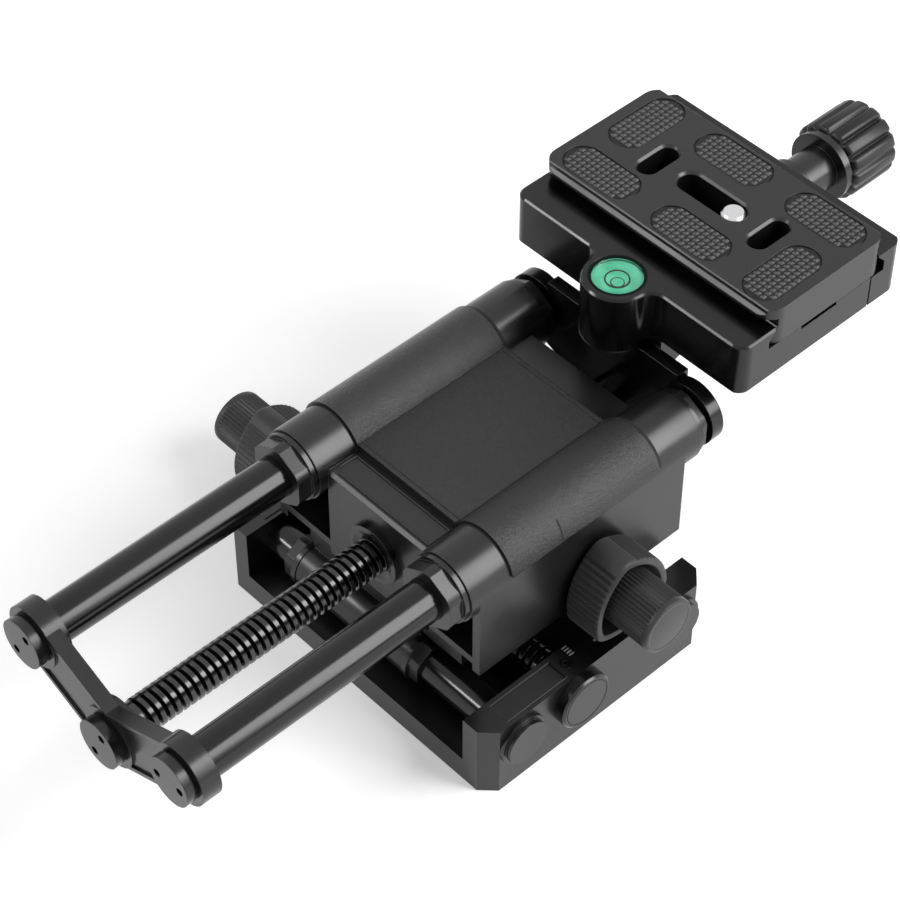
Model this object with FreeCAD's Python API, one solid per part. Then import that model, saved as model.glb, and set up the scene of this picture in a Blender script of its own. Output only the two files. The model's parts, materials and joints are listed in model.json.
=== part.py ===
"""Two-axis macro focusing rail with a quick-release clamp.

Frame: millimetres, +Z up, +Y along the long rods towards the camera clamp, +X across.
The origin is the mouth of the tripod socket, on the underside of the base tray.
"""
import FreeCAD, Part
import math
import os

V = FreeCAD.Vector
X_AXIS = V(1, 0, 0)
Y_AXIS = V(0, 1, 0)
Z_AXIS = V(0, 0, 1)

# ---------------------------------------------------------------- clearances
slip = 0.05               # radial running clearance of a shaft in its bush
seat_gap = 0.02           # fixed piece in its seat
free_gap = 0.4            # faces that pass each other with no guiding
key_share = 0.7           # hexagon key hole, as a share of its bolt's radius

# ---------------------------------------------------------------- base tray
base_half_x = 44.0
base_half_y = 34.0
base_height = 20.6
wall_thick = 8.0
tray_depth = 13.8
corner_cut = 3.5
socket_minor_r = 3.97     # 3/8"-16 thread, minor radius
socket_bush_r = 7.0
side_socket_r = 2.55      # 1/4"-20 thread, minor radius
side_socket_y = 15.0
strip_len = 17.7
strip_width = 5.4
strip_thick = 0.8
strip_inset = 3.8
strip_gap = 1.35          # from a strip's rear end to the grub screw behind it
grub_r = 1.5
grub_len = 4.0
grub_key_r = 0.75

# ---------------------------------------------------------------- cross guide
cross_rod_r = 4.5
cross_rod_inset = 10.0
cross_drop = 7.2
cross_cap_r = 6.5
cross_cap_step_r = 5.6
cross_cap_rim = 1.0
cross_cap_thick = 2.2
spigot_r = 2.5
spigot_len = 4.0
spigot_end_gap = 0.3
cross_sleeve_r = 6.0
cross_sleeve_len = 36.0
cross_sleeve_mid_x = -6.0
cross_bush_r = 5.2
cross_bush_len = 9.0
gland_len = 5.0
gland_flange_len = 1.4
cross_gland_flange_r = 6.25
cross_gland_flats = 10.8
cross_gland_len = 4.4

# ---------------------------------------------------------------- cross screw
screw_y = -6.8
screw_r = 4.0
screw_root_r = 3.1
screw_pitch = 2.0
journal_r = 3.0
screw_bush_r = 4.4
end_disc_r = 7.2
end_disc_thick = 3.0
bearing_boss_r = 8.0
bearing_boss_len = 7.0
cross_nut_r = 5.8
cross_nut_x = -0.5
cross_nut_len = 12.0
cross_nut_wall = 1.0
cross_foot = 4.0
end_play = 0.3

# ---------------------------------------------------------------- long rods
rod_r = 5.0
rod_half_gap = 24.0
rod_rise = 29.4
yoke_front_y = -100.0
yoke_thick = 4.8
yoke_arm_thick = 3.6
yoke_boss_r = 7.6
yoke_arm_half = 7.0
yoke_rim = 1.1
yoke_recess = 0.5
cap_r = 6.0
cap_thick = 2.2
cap_neck_r = 5.2
cap_neck_len = 0.6
cap_hole_r = 1.0
cap_hole_offset = 3.6
cap_hole_depth = 1.6
cap_turns = (56, 65, 5)
worm_drop = 10.9
worm_r = 4.4
worm_root_r = 2.9
worm_mesh_depth = 0.6
worm_pitch = 2.0
thread_crest = 0.6
thread_root = 0.7
thread_runout = 1.0
worm_end_cut = 0.2

# ---------------------------------------------------------------- carriage
sleeve_r = 8.75
sleeve_front_y = -28.3
sleeve_rear_y = 41.0
bush_r = 6.3
bush_len = 16.0
gland_flange_r = 8.3
gland_flats = 14.6
rear_gland_len = 3.2
body_front_y = -26.0
body_rear_y = 36.0
body_rise = 5.4
side_wall = 2.3
pocket_floor_rise = 2.2
pocket_floor_thick = 2.0
block_half_x = 15.6
block_rise = 2.6
block_edge_cut = 0.8
worm_bore_gap = 0.5
ring_r = 7.6
ring_proud = 1.4
ring_depth = 3.0
ring_step = 1.2
ring_lip = 1.4
cover_thick = 0.65
cover_front_y = -17.0
cover_rear_y = 27.4
cover_web_thick = 2.0
cover_edge_rise = 1.6
saddle_rise = 0.6
saddle_half_x = 25.0
saddle_bolt_r = 2.0
saddle_bolt_head_r = 3.5
saddle_bolt_head = 3.0
saddle_bolt_x = 21.0
saddle_bolt_y = 16.2
saddle_bolt_reach = 11.0

# ---------------------------------------------------------------- drive
pinion_teeth = 7
pinion_depth = 0.85
pinion_width = 3.2
pinion_tip = 0.3
pinion_tip_share = 0.62
pinion_base = 0.7
pinion_hub_wall = 0.15
drive_y = 9.2
shaft_r = 2.4
shaft_bush_r = 3.9
drive_boss_r = 7.0
drive_boss_len = 0.6
shaft_end_wall = 2.0
shaft_bush_gap = 0.3
lock_knob_len = 9.8
lock_corner_r = 12.1
lock_flank_r = 10.2
lock_round_r = 4.0
lock_wall = 1.9
lock_recess = 7.0
lock_hub_wall = 1.8
lock_gap = 0.4
small_knob_r = 7.0
small_knob_len = 14.0
small_knob_seat = 2.6
small_knob_cut = 0.5
thrust_gap = 0.1

# ---------------------------------------------------------------- head
head_front_y = 45.5
head_thick = 3.4
head_boss_r = 8.0
head_mid_boss_r = 8.6
head_arm_half = 7.0
head_drop = 2.0
tower_half_x = 20.5
shelf_half_x = 12.0
shelf_thick = 6.0
rib_thick = 3.0
rib_drop = 6.0
rib_share = 0.6
rib_end_y = 79.0
shelf_rear_y = 87.0
head_screw_r = 2.0
head_screw_head_r = 3.6
head_screw_head = 2.2
head_screw_len = 10.0

# ---------------------------------------------------------------- clamp
clamp_half_x = 35.4
clamp_front_y = 48.8
clamp_rise = 11.4
clamp_floor_rise = 8.8
jaw_rise = 5.0
clamp_top_cut = 0.5
jaw_lip = 0.3
jaw_side_gap = 0.15
clamp_round_r = 3.3
clamp_edge_cut = 0.4
plate_mid_y = 76.4
body_end_y = 91.0
jaw_rest_gap = 0.5
jaw_thick = 10.0
bulge_r = 8.2
bulge_y = 46.4
bulge_blend_r = 3.5
bubble_r = 5.9
bubble_depth = 4.6
bubble_rim_r = 6.6
bubble_rim_depth = 1.2
bubble_drop = 0.3
clamp_bolt_r = 2.5
clamp_bolt_head_r = 4.25
clamp_bolt_head = 3.4
clamp_bolt_reach = 5.5
clamp_bolt_x = 6.6
stop_slot_len = 11.5
stop_slot_depth = 1.5
stop_slot_height = 1.0
stop_slot_shift = 2.5
clamp_screw_r = 3.0
clamp_screw_rise = 5.2
clamp_screw_reach = 24.0
clamp_screw_spare = 3.0
stem_r = 5.6
stem_len = 14.5
stem_ring_r = 6.8
stem_ring_len = 3.0
stem_lip_r = 8.6
stem_lip_len = 2.0
knob_r = 9.8
knob_len = 15.0
knob_bore_share = 0.6
knob_flutes = 14
flute_r = 1.5
flute_depth = 0.9
flute_start = 1.6
knob_edge_cut = 0.8
guide_pin_r = 1.6
guide_pin_x = 25.0
guide_pin_len = 16.0
guide_pin_spare = 6.0

# ---------------------------------------------------------------- camera plate
plate_half_y = 18.8
plate_thick = 10.0
plate_float = 0.2
plate_flange = 2.8
groove_depth = 2.6
dovetail_foot = 2.2
plate_round_r = 4.5
plate_edge_cut = 0.3
ledge_cut = 0.8
ledge_drop = 0.9
pad_len = 21.2
pad_width = 9.8
pad_end_margin = 2.2
pad_edge_margin = 1.4
pad_across_end_margin = 2.9
pad_across_edge_margin = 0.9
pad_mid_shift = 5.2
pad_thick = 0.8
pad_proud = 0.4
centre_slot_half = 9.7
centre_slot_width = 6.2
slot_mouth_cut = 0.6
side_slot_x = 17.0
side_slot_len = 11.5
side_slot_width = 4.9
stud_r = 2.9
stud_tip_cut = 0.6
stud_end_gap = 0.1
stud_sink = 0.4
stud_head_r = 5.6
stud_head_thick = 1.8
stud_slot_width = 1.1
stud_slot_depth = 1.0
clip_r = 4.6
clip_thick = 0.7
slot_relief_depth = 3.4
slot_relief_width = 12.0
stop_screw_r = 1.5
stop_screw_inset = 4.4
stop_screw_len = 3.0

# ---------------------------------------------------------------- worked out
floor_thick = base_height - tray_depth
strip_centre_x = base_half_x - strip_inset
strip_centre_y = screw_y - grub_r - strip_gap - strip_len / 2
cross_rod_y = base_half_y - cross_rod_inset
cross_z = base_height - cross_drop
rod_z = base_height + rod_rise
saddle_plate_bottom_z = base_height + saddle_rise
body_bottom_z = base_height + body_rise
pocket_floor_z = body_bottom_z + pocket_floor_rise
block_top_z = rod_z + block_rise
worm_z = rod_z - worm_drop
worm_mesh_r = worm_r - worm_mesh_depth
pinion_r = pinion_teeth * worm_pitch / (2 * math.pi)
drive_z = worm_z - worm_mesh_r - pinion_r
yoke_rear_y = yoke_front_y + yoke_thick
head_rear_y = head_front_y + head_thick
clamp_bottom_z = rod_z + clamp_rise
clamp_floor_z = clamp_bottom_z + clamp_floor_rise
jaw_top_z = clamp_floor_z + jaw_rise
clamp_screw_z = clamp_bottom_z + clamp_screw_rise
head_top_z = clamp_bottom_z - head_drop
shelf_top_z = clamp_bottom_z
shelf_low_z = shelf_top_z - shelf_thick
head_screw_seat_y = head_rear_y - head_screw_head / 2
side_x = rod_half_gap + sleeve_r
jaw_front_y = body_end_y + jaw_rest_gap
jaw_rear_y = jaw_front_y + jaw_thick
plate_half_x = clamp_half_x
plate_bottom_z = clamp_floor_z + plate_float
plate_top_z = plate_bottom_z + plate_thick
stop_screw_x = plate_half_x - stop_screw_inset
stud_x = centre_slot_half - centre_slot_width / 2 - stud_end_gap


# ---------------------------------------------------------------- shape helpers
def cyl(axis, radius, start, length, a=0.0, b=0.0):
    """Cylinder along an axis; a and b are its place on the other two axes, in X, Y, Z order."""
    if axis == X_AXIS:
        base = V(start, a, b)
    elif axis == Y_AXIS:
        base = V(a, start, b)
    else:
        base = V(a, b, start)
    return Part.makeCylinder(radius, length, base, axis)


def tube(axis, outer, inner, start, length, a=0.0, b=0.0):
    """Hollow cylinder."""
    return cyl(axis, outer, start, length, a, b).cut(cyl(axis, inner, start - 1, length + 2, a, b))


def box(x0, x1, y0, y1, z0, z1):
    """Box between two corners."""
    return Part.makeBox(x1 - x0, y1 - y0, z1 - z0, V(x0, y0, z0))


def prism(points, direction):
    """Closed polygon pushed along a vector."""
    wire = Part.makePolygon([V(*p) for p in points] + [V(*points[0])])
    return Part.Face(wire).extrude(direction)


def union(shapes):
    """One solid from several that touch."""
    return shapes[0].multiFuse(shapes[1:]).removeSplitter()


def remove(shape, tools):
    """Shape with every tool cut out of it."""
    return shape.cut(tools[0].multiFuse(tools[1:]) if len(tools) > 1 else tools[0])


def mirror_x(shape):
    """Copy on the other side of the YZ plane."""
    return shape.mirror(V(0, 0, 0), X_AXIS)


def rounded_slab(x0, x1, y0, y1, z0, z1, radius):
    """Box with its four upright edges rounded."""
    slab = box(x0, x1, y0, y1, z0, z1)
    upright = [e for e in slab.Edges if abs(e.BoundBox.ZLength - (z1 - z0)) < 1e-6]
    return slab.makeFillet(radius, upright)


def stadium(length, width, z0, z1, x, y, along_x=True):
    """Slot-shaped solid with round ends."""
    half = (length - width) / 2
    dx, dy = (half, 0) if along_x else (0, half)
    ends = [cyl(Z_AXIS, width / 2, z0, z1 - z0, x + s * dx, y + s * dy) for s in (-1, 1)]
    wide_x = half if along_x else width / 2
    wide_y = width / 2 if along_x else half
    return union([box(x - wide_x, x + wide_x, y - wide_y, y + wide_y, z0, z1)] + ends)


def slot_mouth(length, width, cut, top, x, y, along_x=True):
    """Sloping mouth of a slot; cut is its size at the top."""
    half = (length - width) / 2
    low, high = top - cut, top + cut
    r0, r1 = width / 2, width / 2 + 2 * cut
    dx, dy = (half, 0) if along_x else (0, half)
    ends = [Part.makeCone(r0, r1, high - low, V(x + s * dx, y + s * dy, low)) for s in (-1, 1)]
    section = [(-r0, low), (r0, low), (r1, high), (-r1, high)]
    if along_x:
        wedge = prism([(x - half, y + u, z) for u, z in section], V(2 * half, 0, 0))
    else:
        wedge = prism([(x + u, y - half, z) for u, z in section], V(0, 2 * half, 0))
    return union([wedge] + ends)


def turned(profile, axis, a=0.0, b=0.0):
    """Solid of revolution about an axis, from (place along it, radius) points."""
    if axis == X_AXIS:
        points = [V(s, a + r, b) for s, r in profile]
        centre = V(0, a, b)
    elif axis == Y_AXIS:
        points = [V(a + r, s, b) for s, r in profile]
        centre = V(a, 0, b)
    else:
        points = [V(a + r, b, s) for s, r in profile]
        centre = V(a, b, 0)
    wire = Part.makePolygon(points + [points[0]])
    return Part.Face(wire).revolve(centre, axis, 360)


def ringed_rod(axis, start, length, outer, root, pitch, a, b, plain_r, plain_start, plain_end):
    """Worm rod: rack-like ring teeth between two plain ends."""
    profile = [(plain_start, 0), (plain_start, plain_r), (start, plain_r)]
    slope = (pitch - thread_crest - thread_root) / 2
    for i in range(int(length / pitch)):
        s = start + i * pitch
        profile += [(s, root), (s + thread_root, root), (s + thread_root + slope, outer),
                    (s + thread_root + slope + thread_crest, outer)]
    end = start + int(length / pitch) * pitch
    profile += [(end, root), (end, plain_r), (plain_end, plain_r), (plain_end, 0)]
    return turned(profile, axis, a, b)


def lobed_prism(corner_r, flank_r, round_r, x0, length, y, z):
    """Three-cornered knob outline of tangent arcs, pushed along X."""
    corner_d = corner_r - round_r
    flank_in = flank_r - round_r
    flank_f = (corner_d ** 2 - flank_in ** 2) / (2 * flank_in - corner_d)
    angles = [math.radians(100 + 120 * i) for i in range(3)]

    def at(angle, radius, oy=0.0, oz=0.0):
        return V(x0, y + oy + radius * math.cos(angle), z + oz + radius * math.sin(angle))

    edges = []
    joins = []
    for i in range(3):
        mid = angles[i] + math.radians(60)
        fy, fz = -flank_f * math.cos(mid), -flank_f * math.sin(mid)
        ends = []
        for corner in (angles[i], angles[(i + 1) % 3]):
            cy, cz = corner_d * math.cos(corner), corner_d * math.sin(corner)
            out = math.atan2(cz - fz, cy - fy)
            ends.append(at(out, round_r, cy, cz))
        joins.append(ends)
        edges.append(Part.Arc(ends[0], at(mid, flank_r), ends[1]).toShape())
    for i in range(3):
        corner = angles[(i + 1) % 3]
        edges.append(Part.Arc(joins[i][1], at(corner, corner_r), joins[(i + 1) % 3][0]).toShape())
    wire = Part.Wire(Part.__sortEdges__(edges))
    return Part.Face(wire).extrude(V(length, 0, 0))


def hex_gland(axis, start, bore, flange_r, flats, length, flange_len, a, b, out=1):
    """Hex bush nut with a round flange; out is the way its hexagon faces."""
    corner = flats / math.sqrt(3)
    hex_len = length - flange_len
    hex_start = start + (flange_len if out > 0 else -length)
    flange_start = start if out > 0 else start - flange_len
    ring = [(corner * math.cos(math.radians(60 * i + 30)), corner * math.sin(math.radians(60 * i + 30)))
            for i in range(6)]
    if axis == X_AXIS:
        points = [(hex_start, a + u, b + v) for u, v in ring]
    else:
        points = [(a + u, hex_start, b + v) for u, v in ring]
    body = prism(points, axis * hex_len)
    chamfer = cyl(axis, (corner + flats / 2) / 2, hex_start, hex_len, a, b)
    nut = union([body.common(chamfer), cyl(axis, flange_r, flange_start, flange_len, a, b)])
    return nut.cut(cyl(axis, bore, min(hex_start, flange_start) - 1, length + 2, a, b))


def group(shapes):
    """Several separate solids in one node."""
    return Part.makeCompound(shapes)


# ---------------------------------------------------------------- base pieces
def base_casting():
    """U-shaped tray with its bores, before it is parted into a floor and two walls."""
    inner = base_half_x - wall_thick
    profile = [(-base_half_x, 0), (base_half_x, 0), (base_half_x, base_height), (inner, base_height),
               (inner, floor_thick), (-inner, floor_thick), (-inner, base_height),
               (-base_half_x, base_height)]
    tray = prism([(x, -base_half_y, z) for x, z in profile], V(0, 2 * base_half_y, 0))
    hx, hy, c = base_half_x, base_half_y, corner_cut
    plan = [(-hx + c, -hy, 0), (hx - c, -hy, 0), (hx, -hy + c, 0), (hx, hy - c, 0),
            (hx - c, hy, 0), (-hx + c, hy, 0), (-hx, hy - c, 0), (-hx, -hy + c, 0)]
    tray = tray.common(prism(plan, V(0, 0, base_height)))
    full = 2 * base_half_x + 2
    cuts = [cyl(X_AXIS, cross_rod_r + seat_gap, -base_half_x - 1, full, s * cross_rod_y, cross_z)
            for s in (-1, 1)]
    cuts.append(cyl(X_AXIS, screw_bush_r + seat_gap, -base_half_x - 1, full, screw_y, cross_z))
    cuts.append(cyl(Z_AXIS, socket_bush_r + seat_gap, -1, floor_thick + 2))
    cuts += [cyl(Z_AXIS, side_socket_r, -1, floor_thick + 2, 0, s * side_socket_y) for s in (-1, 1)]
    cuts += [strip_seat(s) for s in (-1, 1)]
    cuts += [grub_hole(x, y) for x, y in grub_places()]
    return remove(tray, cuts)


def base_tray():
    """Floor of the tray between its two walls, with the tripod sockets."""
    inner = base_half_x - wall_thick
    return base_casting().common(box(-inner, inner, -base_half_y, base_half_y, 0, base_height))


def right_wall():
    """Thick right-hand wall of the tray; holds the cross rods and a bush of the cross screw."""
    inner = base_half_x - wall_thick
    return base_casting().common(box(inner, base_half_x, -base_half_y, base_half_y, 0, base_height))


def left_wall():
    """Thick left-hand wall of the tray."""
    inner = base_half_x - wall_thick
    return base_casting().common(box(-base_half_x, -inner, -base_half_y, base_half_y, 0, base_height))


def strip_seat(side):
    """Shallow pocket in the top of a wall for its strip."""
    x, g = side * strip_centre_x, seat_gap
    return box(x - strip_width / 2 - g, x + strip_width / 2 + g, strip_centre_y - strip_len / 2 - g,
               strip_centre_y + strip_len / 2 + g, base_height - strip_thick, base_height + 1)


def strips():
    """Bare metal strips let into the wall tops."""
    solids = []
    for side in (-1, 1):
        x = side * strip_centre_x
        solids.append(box(x - strip_width / 2, x + strip_width / 2, strip_centre_y - strip_len / 2,
                          strip_centre_y + strip_len / 2, base_height - strip_thick, base_height))
    return group(solids)


def grub_places():
    """Grub screws in the wall tops: one over each end of the rear cross rod and of the screw bush."""
    x = base_half_x - wall_thick / 2
    return [(s * x, y) for s in (-1, 1) for y in (screw_y, cross_rod_y)]


def grub_top(y):
    """Height at which a grub screw bears: on the rod, or on the screw's bush."""
    return cross_z + (cross_rod_r if y == cross_rod_y else screw_bush_r) + seat_gap


def grub_hole(x, y):
    """Tapped hole from a wall top down to what its grub screw holds."""
    return cyl(Z_AXIS, grub_r + seat_gap, grub_top(y) - 1, base_height - grub_top(y) + 2, x, y)


def grub_screws():
    """Grub screws with socket keys, level with the wall tops or just below."""
    solids = []
    for x, y in grub_places():
        low = grub_top(y) + seat_gap
        length = min(grub_len, base_height - low - seat_gap)
        screw = cyl(Z_AXIS, grub_r, low, length, x, y)
        solids.append(screw.cut(cyl(Z_AXIS, grub_key_r, low + length / 2, length, x, y)))
    return group(solids)


def tripod_bush():
    """Steel bush with the tripod thread."""
    return tube(Z_AXIS, socket_bush_r, socket_minor_r, 0, floor_thick)


def cross_rod(side):
    """Ground rod across the tray, bored at its ends for the caps."""
    rod = cyl(X_AXIS, cross_rod_r, -base_half_x, 2 * base_half_x, side * cross_rod_y, cross_z)
    bores = [cyl(X_AXIS, spigot_r + seat_gap, s * base_half_x - spigot_len - 0.5, 2 * spigot_len + 1,
                 side * cross_rod_y, cross_z) for s in (-1, 1)]
    return remove(rod, bores)


def cross_rod_caps():
    """Stepped discs that close the four rod ends outside the walls."""
    solids = []
    for sx in (-1, 1):
        for sy in (-1, 1):
            profile = [(base_half_x - spigot_len, 0), (base_half_x - spigot_len, spigot_r),
                       (base_half_x, spigot_r), (base_half_x, cross_cap_r),
                       (base_half_x + cross_cap_rim, cross_cap_r),
                       (base_half_x + cross_cap_rim, cross_cap_step_r),
                       (base_half_x + cross_cap_thick, cross_cap_step_r), (base_half_x + cross_cap_thick, 0)]
            cap = turned(profile, X_AXIS, sy * cross_rod_y, cross_z)
            solids.append(cap if sx > 0 else mirror_x(cap))
    return group(solids)


def screw_bushes():
    """Plain bushes for the cross screw; the left one stands out as the knob's bearing boss."""
    inner = base_half_x - wall_thick
    right = tube(X_AXIS, screw_bush_r, journal_r + slip, inner, wall_thick, screw_y, cross_z)
    left = tube(X_AXIS, screw_bush_r, journal_r + slip, -base_half_x, wall_thick, screw_y, cross_z)
    boss = tube(X_AXIS, bearing_boss_r, journal_r + slip, -base_half_x - bearing_boss_len,
                bearing_boss_len, screw_y, cross_z)
    return group([right, union([left, boss])])


def screw_end_disc():
    """Smooth disc over the screw's right-hand bearing."""
    disc = cyl(X_AXIS, end_disc_r, base_half_x, end_disc_thick, screw_y, cross_z)
    outer_edge = [e for e in disc.Edges if abs(e.BoundBox.XMax - base_half_x - end_disc_thick) < 1e-6
                  and e.BoundBox.YLength > end_disc_r]
    return disc.makeChamfer(0.5, outer_edge)


# ---------------------------------------------------------------- cross drive pieces
def knob_stack(inner_face):
    """Places along the axis of a lock knob and the small knob outside it."""
    lock_outer = inner_face + lock_knob_len
    return lock_outer, lock_outer - small_knob_seat, lock_outer - small_knob_seat + small_knob_len


def left_stack():
    """The cross drive's knobs stand outside the bearing boss, mirrored from +X."""
    return base_half_x + bearing_boss_len + lock_gap


def right_stack():
    """The long drive's knobs stand outside the casting's side wall."""
    return side_x + drive_boss_len + lock_gap


def cross_screw():
    """Screw across the tray, plain where it turns in its bushes and in its knob."""
    inner = base_half_x - wall_thick
    _, small_in, _ = knob_stack(left_stack())
    turns = int((2 * inner - 2) / screw_pitch)
    start = -turns * screw_pitch / 2
    return ringed_rod(X_AXIS, start, turns * screw_pitch, screw_r, screw_root_r, screw_pitch, screw_y,
                      cross_z, journal_r, -small_in - small_knob_len / 2, base_half_x - end_play)


def small_knob(inner, y, z):
    """Round knob with a blind bore for its shaft."""
    knob = cyl(X_AXIS, small_knob_r, inner, small_knob_len, y, z)
    rims = [e for e in knob.Edges if e.BoundBox.XLength < 1e-6 and e.BoundBox.YLength > small_knob_r]
    return knob.makeChamfer(small_knob_cut, rims)


def cross_knob():
    """Small ribbed knob that turns the cross screw."""
    _, small_in, _ = knob_stack(left_stack())
    knob = mirror_x(small_knob(small_in, screw_y, cross_z))
    bore = cyl(X_AXIS, journal_r + seat_gap, -small_in - small_knob_len / 2 - seat_gap, small_knob_len,
               screw_y, cross_z)
    return knob.cut(bore)


def lock_knob(inner, y, z, hole_r):
    """Three-cornered lock knob: hollow outer face, hub, and a running hole."""
    body = lobed_prism(lock_corner_r, lock_flank_r, lock_round_r, inner, lock_knob_len, y, z)
    hollow = lobed_prism(lock_corner_r - lock_wall, lock_flank_r - lock_wall, lock_round_r - lock_wall,
                         inner + lock_knob_len - lock_recess, lock_recess + 1, y, z)
    hub = cyl(X_AXIS, hole_r + lock_hub_wall, inner, lock_knob_len - small_knob_seat - lock_gap, y, z)
    return union([body.cut(hollow), hub]).cut(cyl(X_AXIS, hole_r, inner - 1, lock_knob_len + 2, y, z))


def cross_lock_knob():
    """Lock knob of the cross drive, on the left."""
    return mirror_x(lock_knob(left_stack(), screw_y, cross_z, journal_r + slip))


# ---------------------------------------------------------------- carriage pieces
def sleeve_ends():
    """Low and high X of the cross sleeves."""
    return cross_sleeve_mid_x - cross_sleeve_len / 2, cross_sleeve_mid_x + cross_sleeve_len / 2


def carriage_body():
    """Casting: two long sleeves, thin side walls, centre block and the floor of the side pockets."""
    depth = body_rear_y - body_front_y
    sleeves = [cyl(Y_AXIS, sleeve_r, sleeve_front_y, sleeve_rear_y - sleeve_front_y, s * rod_half_gap, rod_z)
               for s in (-1, 1)]
    walls = [box(side_x - side_wall, side_x, body_front_y, body_rear_y, body_bottom_z, rod_z)]
    walls.append(mirror_x(walls[0]))
    floor = box(-side_x, side_x, body_front_y, body_rear_y, pocket_floor_z,
                pocket_floor_z + pocket_floor_thick)
    hx, c = block_half_x, block_edge_cut
    block = prism([(-hx, body_front_y, body_bottom_z), (-hx, body_rear_y, body_bottom_z),
                   (-hx, body_rear_y, block_top_z), (-hx, body_front_y + c, block_top_z),
                   (-hx, body_front_y, block_top_z - c)], V(2 * hx, 0, 0))
    boss = cyl(X_AXIS, drive_boss_r, side_x - side_wall, side_wall + drive_boss_len, drive_y, drive_z)
    boss = boss.common(box(0, side_x + 5, body_front_y, body_rear_y, body_bottom_z, rod_z))
    casting = union(sleeves + walls + [floor, block, boss])
    cuts = [cyl(Y_AXIS, bush_r + seat_gap, sleeve_front_y - 1, sleeve_rear_y - sleeve_front_y + 2,
                s * rod_half_gap, rod_z) for s in (-1, 1)]
    cuts.append(cyl(Y_AXIS, worm_r + worm_bore_gap, body_front_y - 1, depth + 2, 0, worm_z))
    cuts += [cyl(Y_AXIS, ring_r - ring_step, y, ring_depth, 0, worm_z)
             for y in (body_front_y, body_rear_y - ring_depth)]
    cuts.append(cyl(X_AXIS, shaft_bush_r + seat_gap, shaft_end_wall - block_half_x, block_half_x + side_x,
                    drive_y, drive_z))
    reach = saddle_plate_bottom_z + saddle_bolt_reach + 1 - body_bottom_z
    cuts += [cyl(Z_AXIS, saddle_bolt_r + seat_gap, body_bottom_z - 1, reach + 1, sx * saddle_bolt_x / 2,
                 sy * saddle_bolt_y)
             for sx in (-1, 1) for sy in (-1, 1)]
    return remove(casting, cuts)


def top_cover():
    """Textured cover: two humps over the sleeves and a flat web between them."""
    depth = cover_rear_y - cover_front_y
    outer = sleeve_r + seat_gap + cover_thick
    humps = [cyl(Y_AXIS, outer, cover_front_y, depth, s * rod_half_gap, rod_z) for s in (-1, 1)]
    reach = rod_half_gap + outer
    upper = box(-reach, reach, cover_front_y, cover_rear_y, rod_z + cover_edge_rise, rod_z + outer)
    humps = [hump.common(upper) for hump in humps]
    web = box(-block_half_x, block_half_x, cover_front_y, cover_rear_y, block_top_z + seat_gap,
              block_top_z + seat_gap + cover_web_thick)
    cover = union(humps + [web])
    cuts = [cyl(Y_AXIS, sleeve_r + seat_gap, cover_front_y - 1, depth + 2, s * rod_half_gap, rod_z)
            for s in (-1, 1)]
    cuts.append(box(-rod_half_gap + sleeve_r / 2, rod_half_gap - sleeve_r / 2, cover_front_y - 1,
                    cover_rear_y + 1, rod_z, block_top_z + seat_gap))
    return remove(cover, cuts)


def long_bushes():
    """Four plain bushes for the long rods, two in each sleeve."""
    solids = []
    for s in (-1, 1):
        for y in (sleeve_front_y, sleeve_rear_y - bush_len):
            solids.append(tube(Y_AXIS, bush_r, rod_r + slip, y, bush_len, s * rod_half_gap, rod_z))
    return group(solids)


def long_glands():
    """Hex glands that close both ends of the sleeves round the rods; the rear ones are shorter."""
    solids = []
    for s in (-1, 1):
        for y, length, out in ((sleeve_front_y, gland_len, -1), (sleeve_rear_y, rear_gland_len, 1)):
            solids.append(hex_gland(Y_AXIS, y, rod_r + slip, gland_flange_r, gland_flats, length,
                                    gland_flange_len, s * rod_half_gap, rod_z, out))
    return group(solids)


def worm_rings():
    """Guide rings where the worm rod enters and leaves the centre block."""
    solids = []
    for face, out in ((body_front_y, -1), (body_rear_y, 1)):
        inner = worm_r + slip
        step = ring_r - ring_step - seat_gap
        back = face - out * (ring_depth - seat_gap)
        front = face + out * ring_proud
        profile = [(back, inner), (back, step), (face, step), (face, ring_r), (front, ring_r),
                   (front, ring_r - ring_lip), (face + out * ring_proud / 2, inner)]
        solids.append(turned(profile, Y_AXIS, 0, worm_z))
    return group(solids)


def carriage_saddle():
    """Lower casting: two cross sleeves, the plate that joins them and the screw nut's housing."""
    x0, x1 = sleeve_ends()
    tubes = [cyl(X_AXIS, cross_sleeve_r, x0, x1 - x0, s * cross_rod_y, cross_z) for s in (-1, 1)]
    plate = box(-saddle_half_x, saddle_half_x, -cross_rod_y, cross_rod_y, saddle_plate_bottom_z,
                body_bottom_z)
    feet = [box(x0, x1, min(s * cross_rod_y, s * (cross_rod_y - cross_foot)),
                max(s * cross_rod_y, s * (cross_rod_y - cross_foot)), cross_z, saddle_plate_bottom_z + 1)
            for s in (-1, 1)]
    housing_r = cross_nut_r + cross_nut_wall
    low = floor_thick + free_gap
    nut_x = cross_nut_x
    housing = box(nut_x - cross_nut_len / 2, nut_x + cross_nut_len / 2, screw_y - housing_r,
                  screw_y + housing_r, low, saddle_plate_bottom_z + 1)
    saddle = union(tubes + [plate, housing] + feet)
    cuts = [cyl(X_AXIS, cross_bush_r + seat_gap, x0 - 1, x1 - x0 + 2, s * cross_rod_y, cross_z)
            for s in (-1, 1)]
    cuts.append(cyl(X_AXIS, cross_nut_r + seat_gap, nut_x - cross_nut_len / 2 - 1, cross_nut_len + 2,
                    screw_y, cross_z))
    cuts += saddle_bolt_holes()
    return remove(saddle, cuts)


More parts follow.
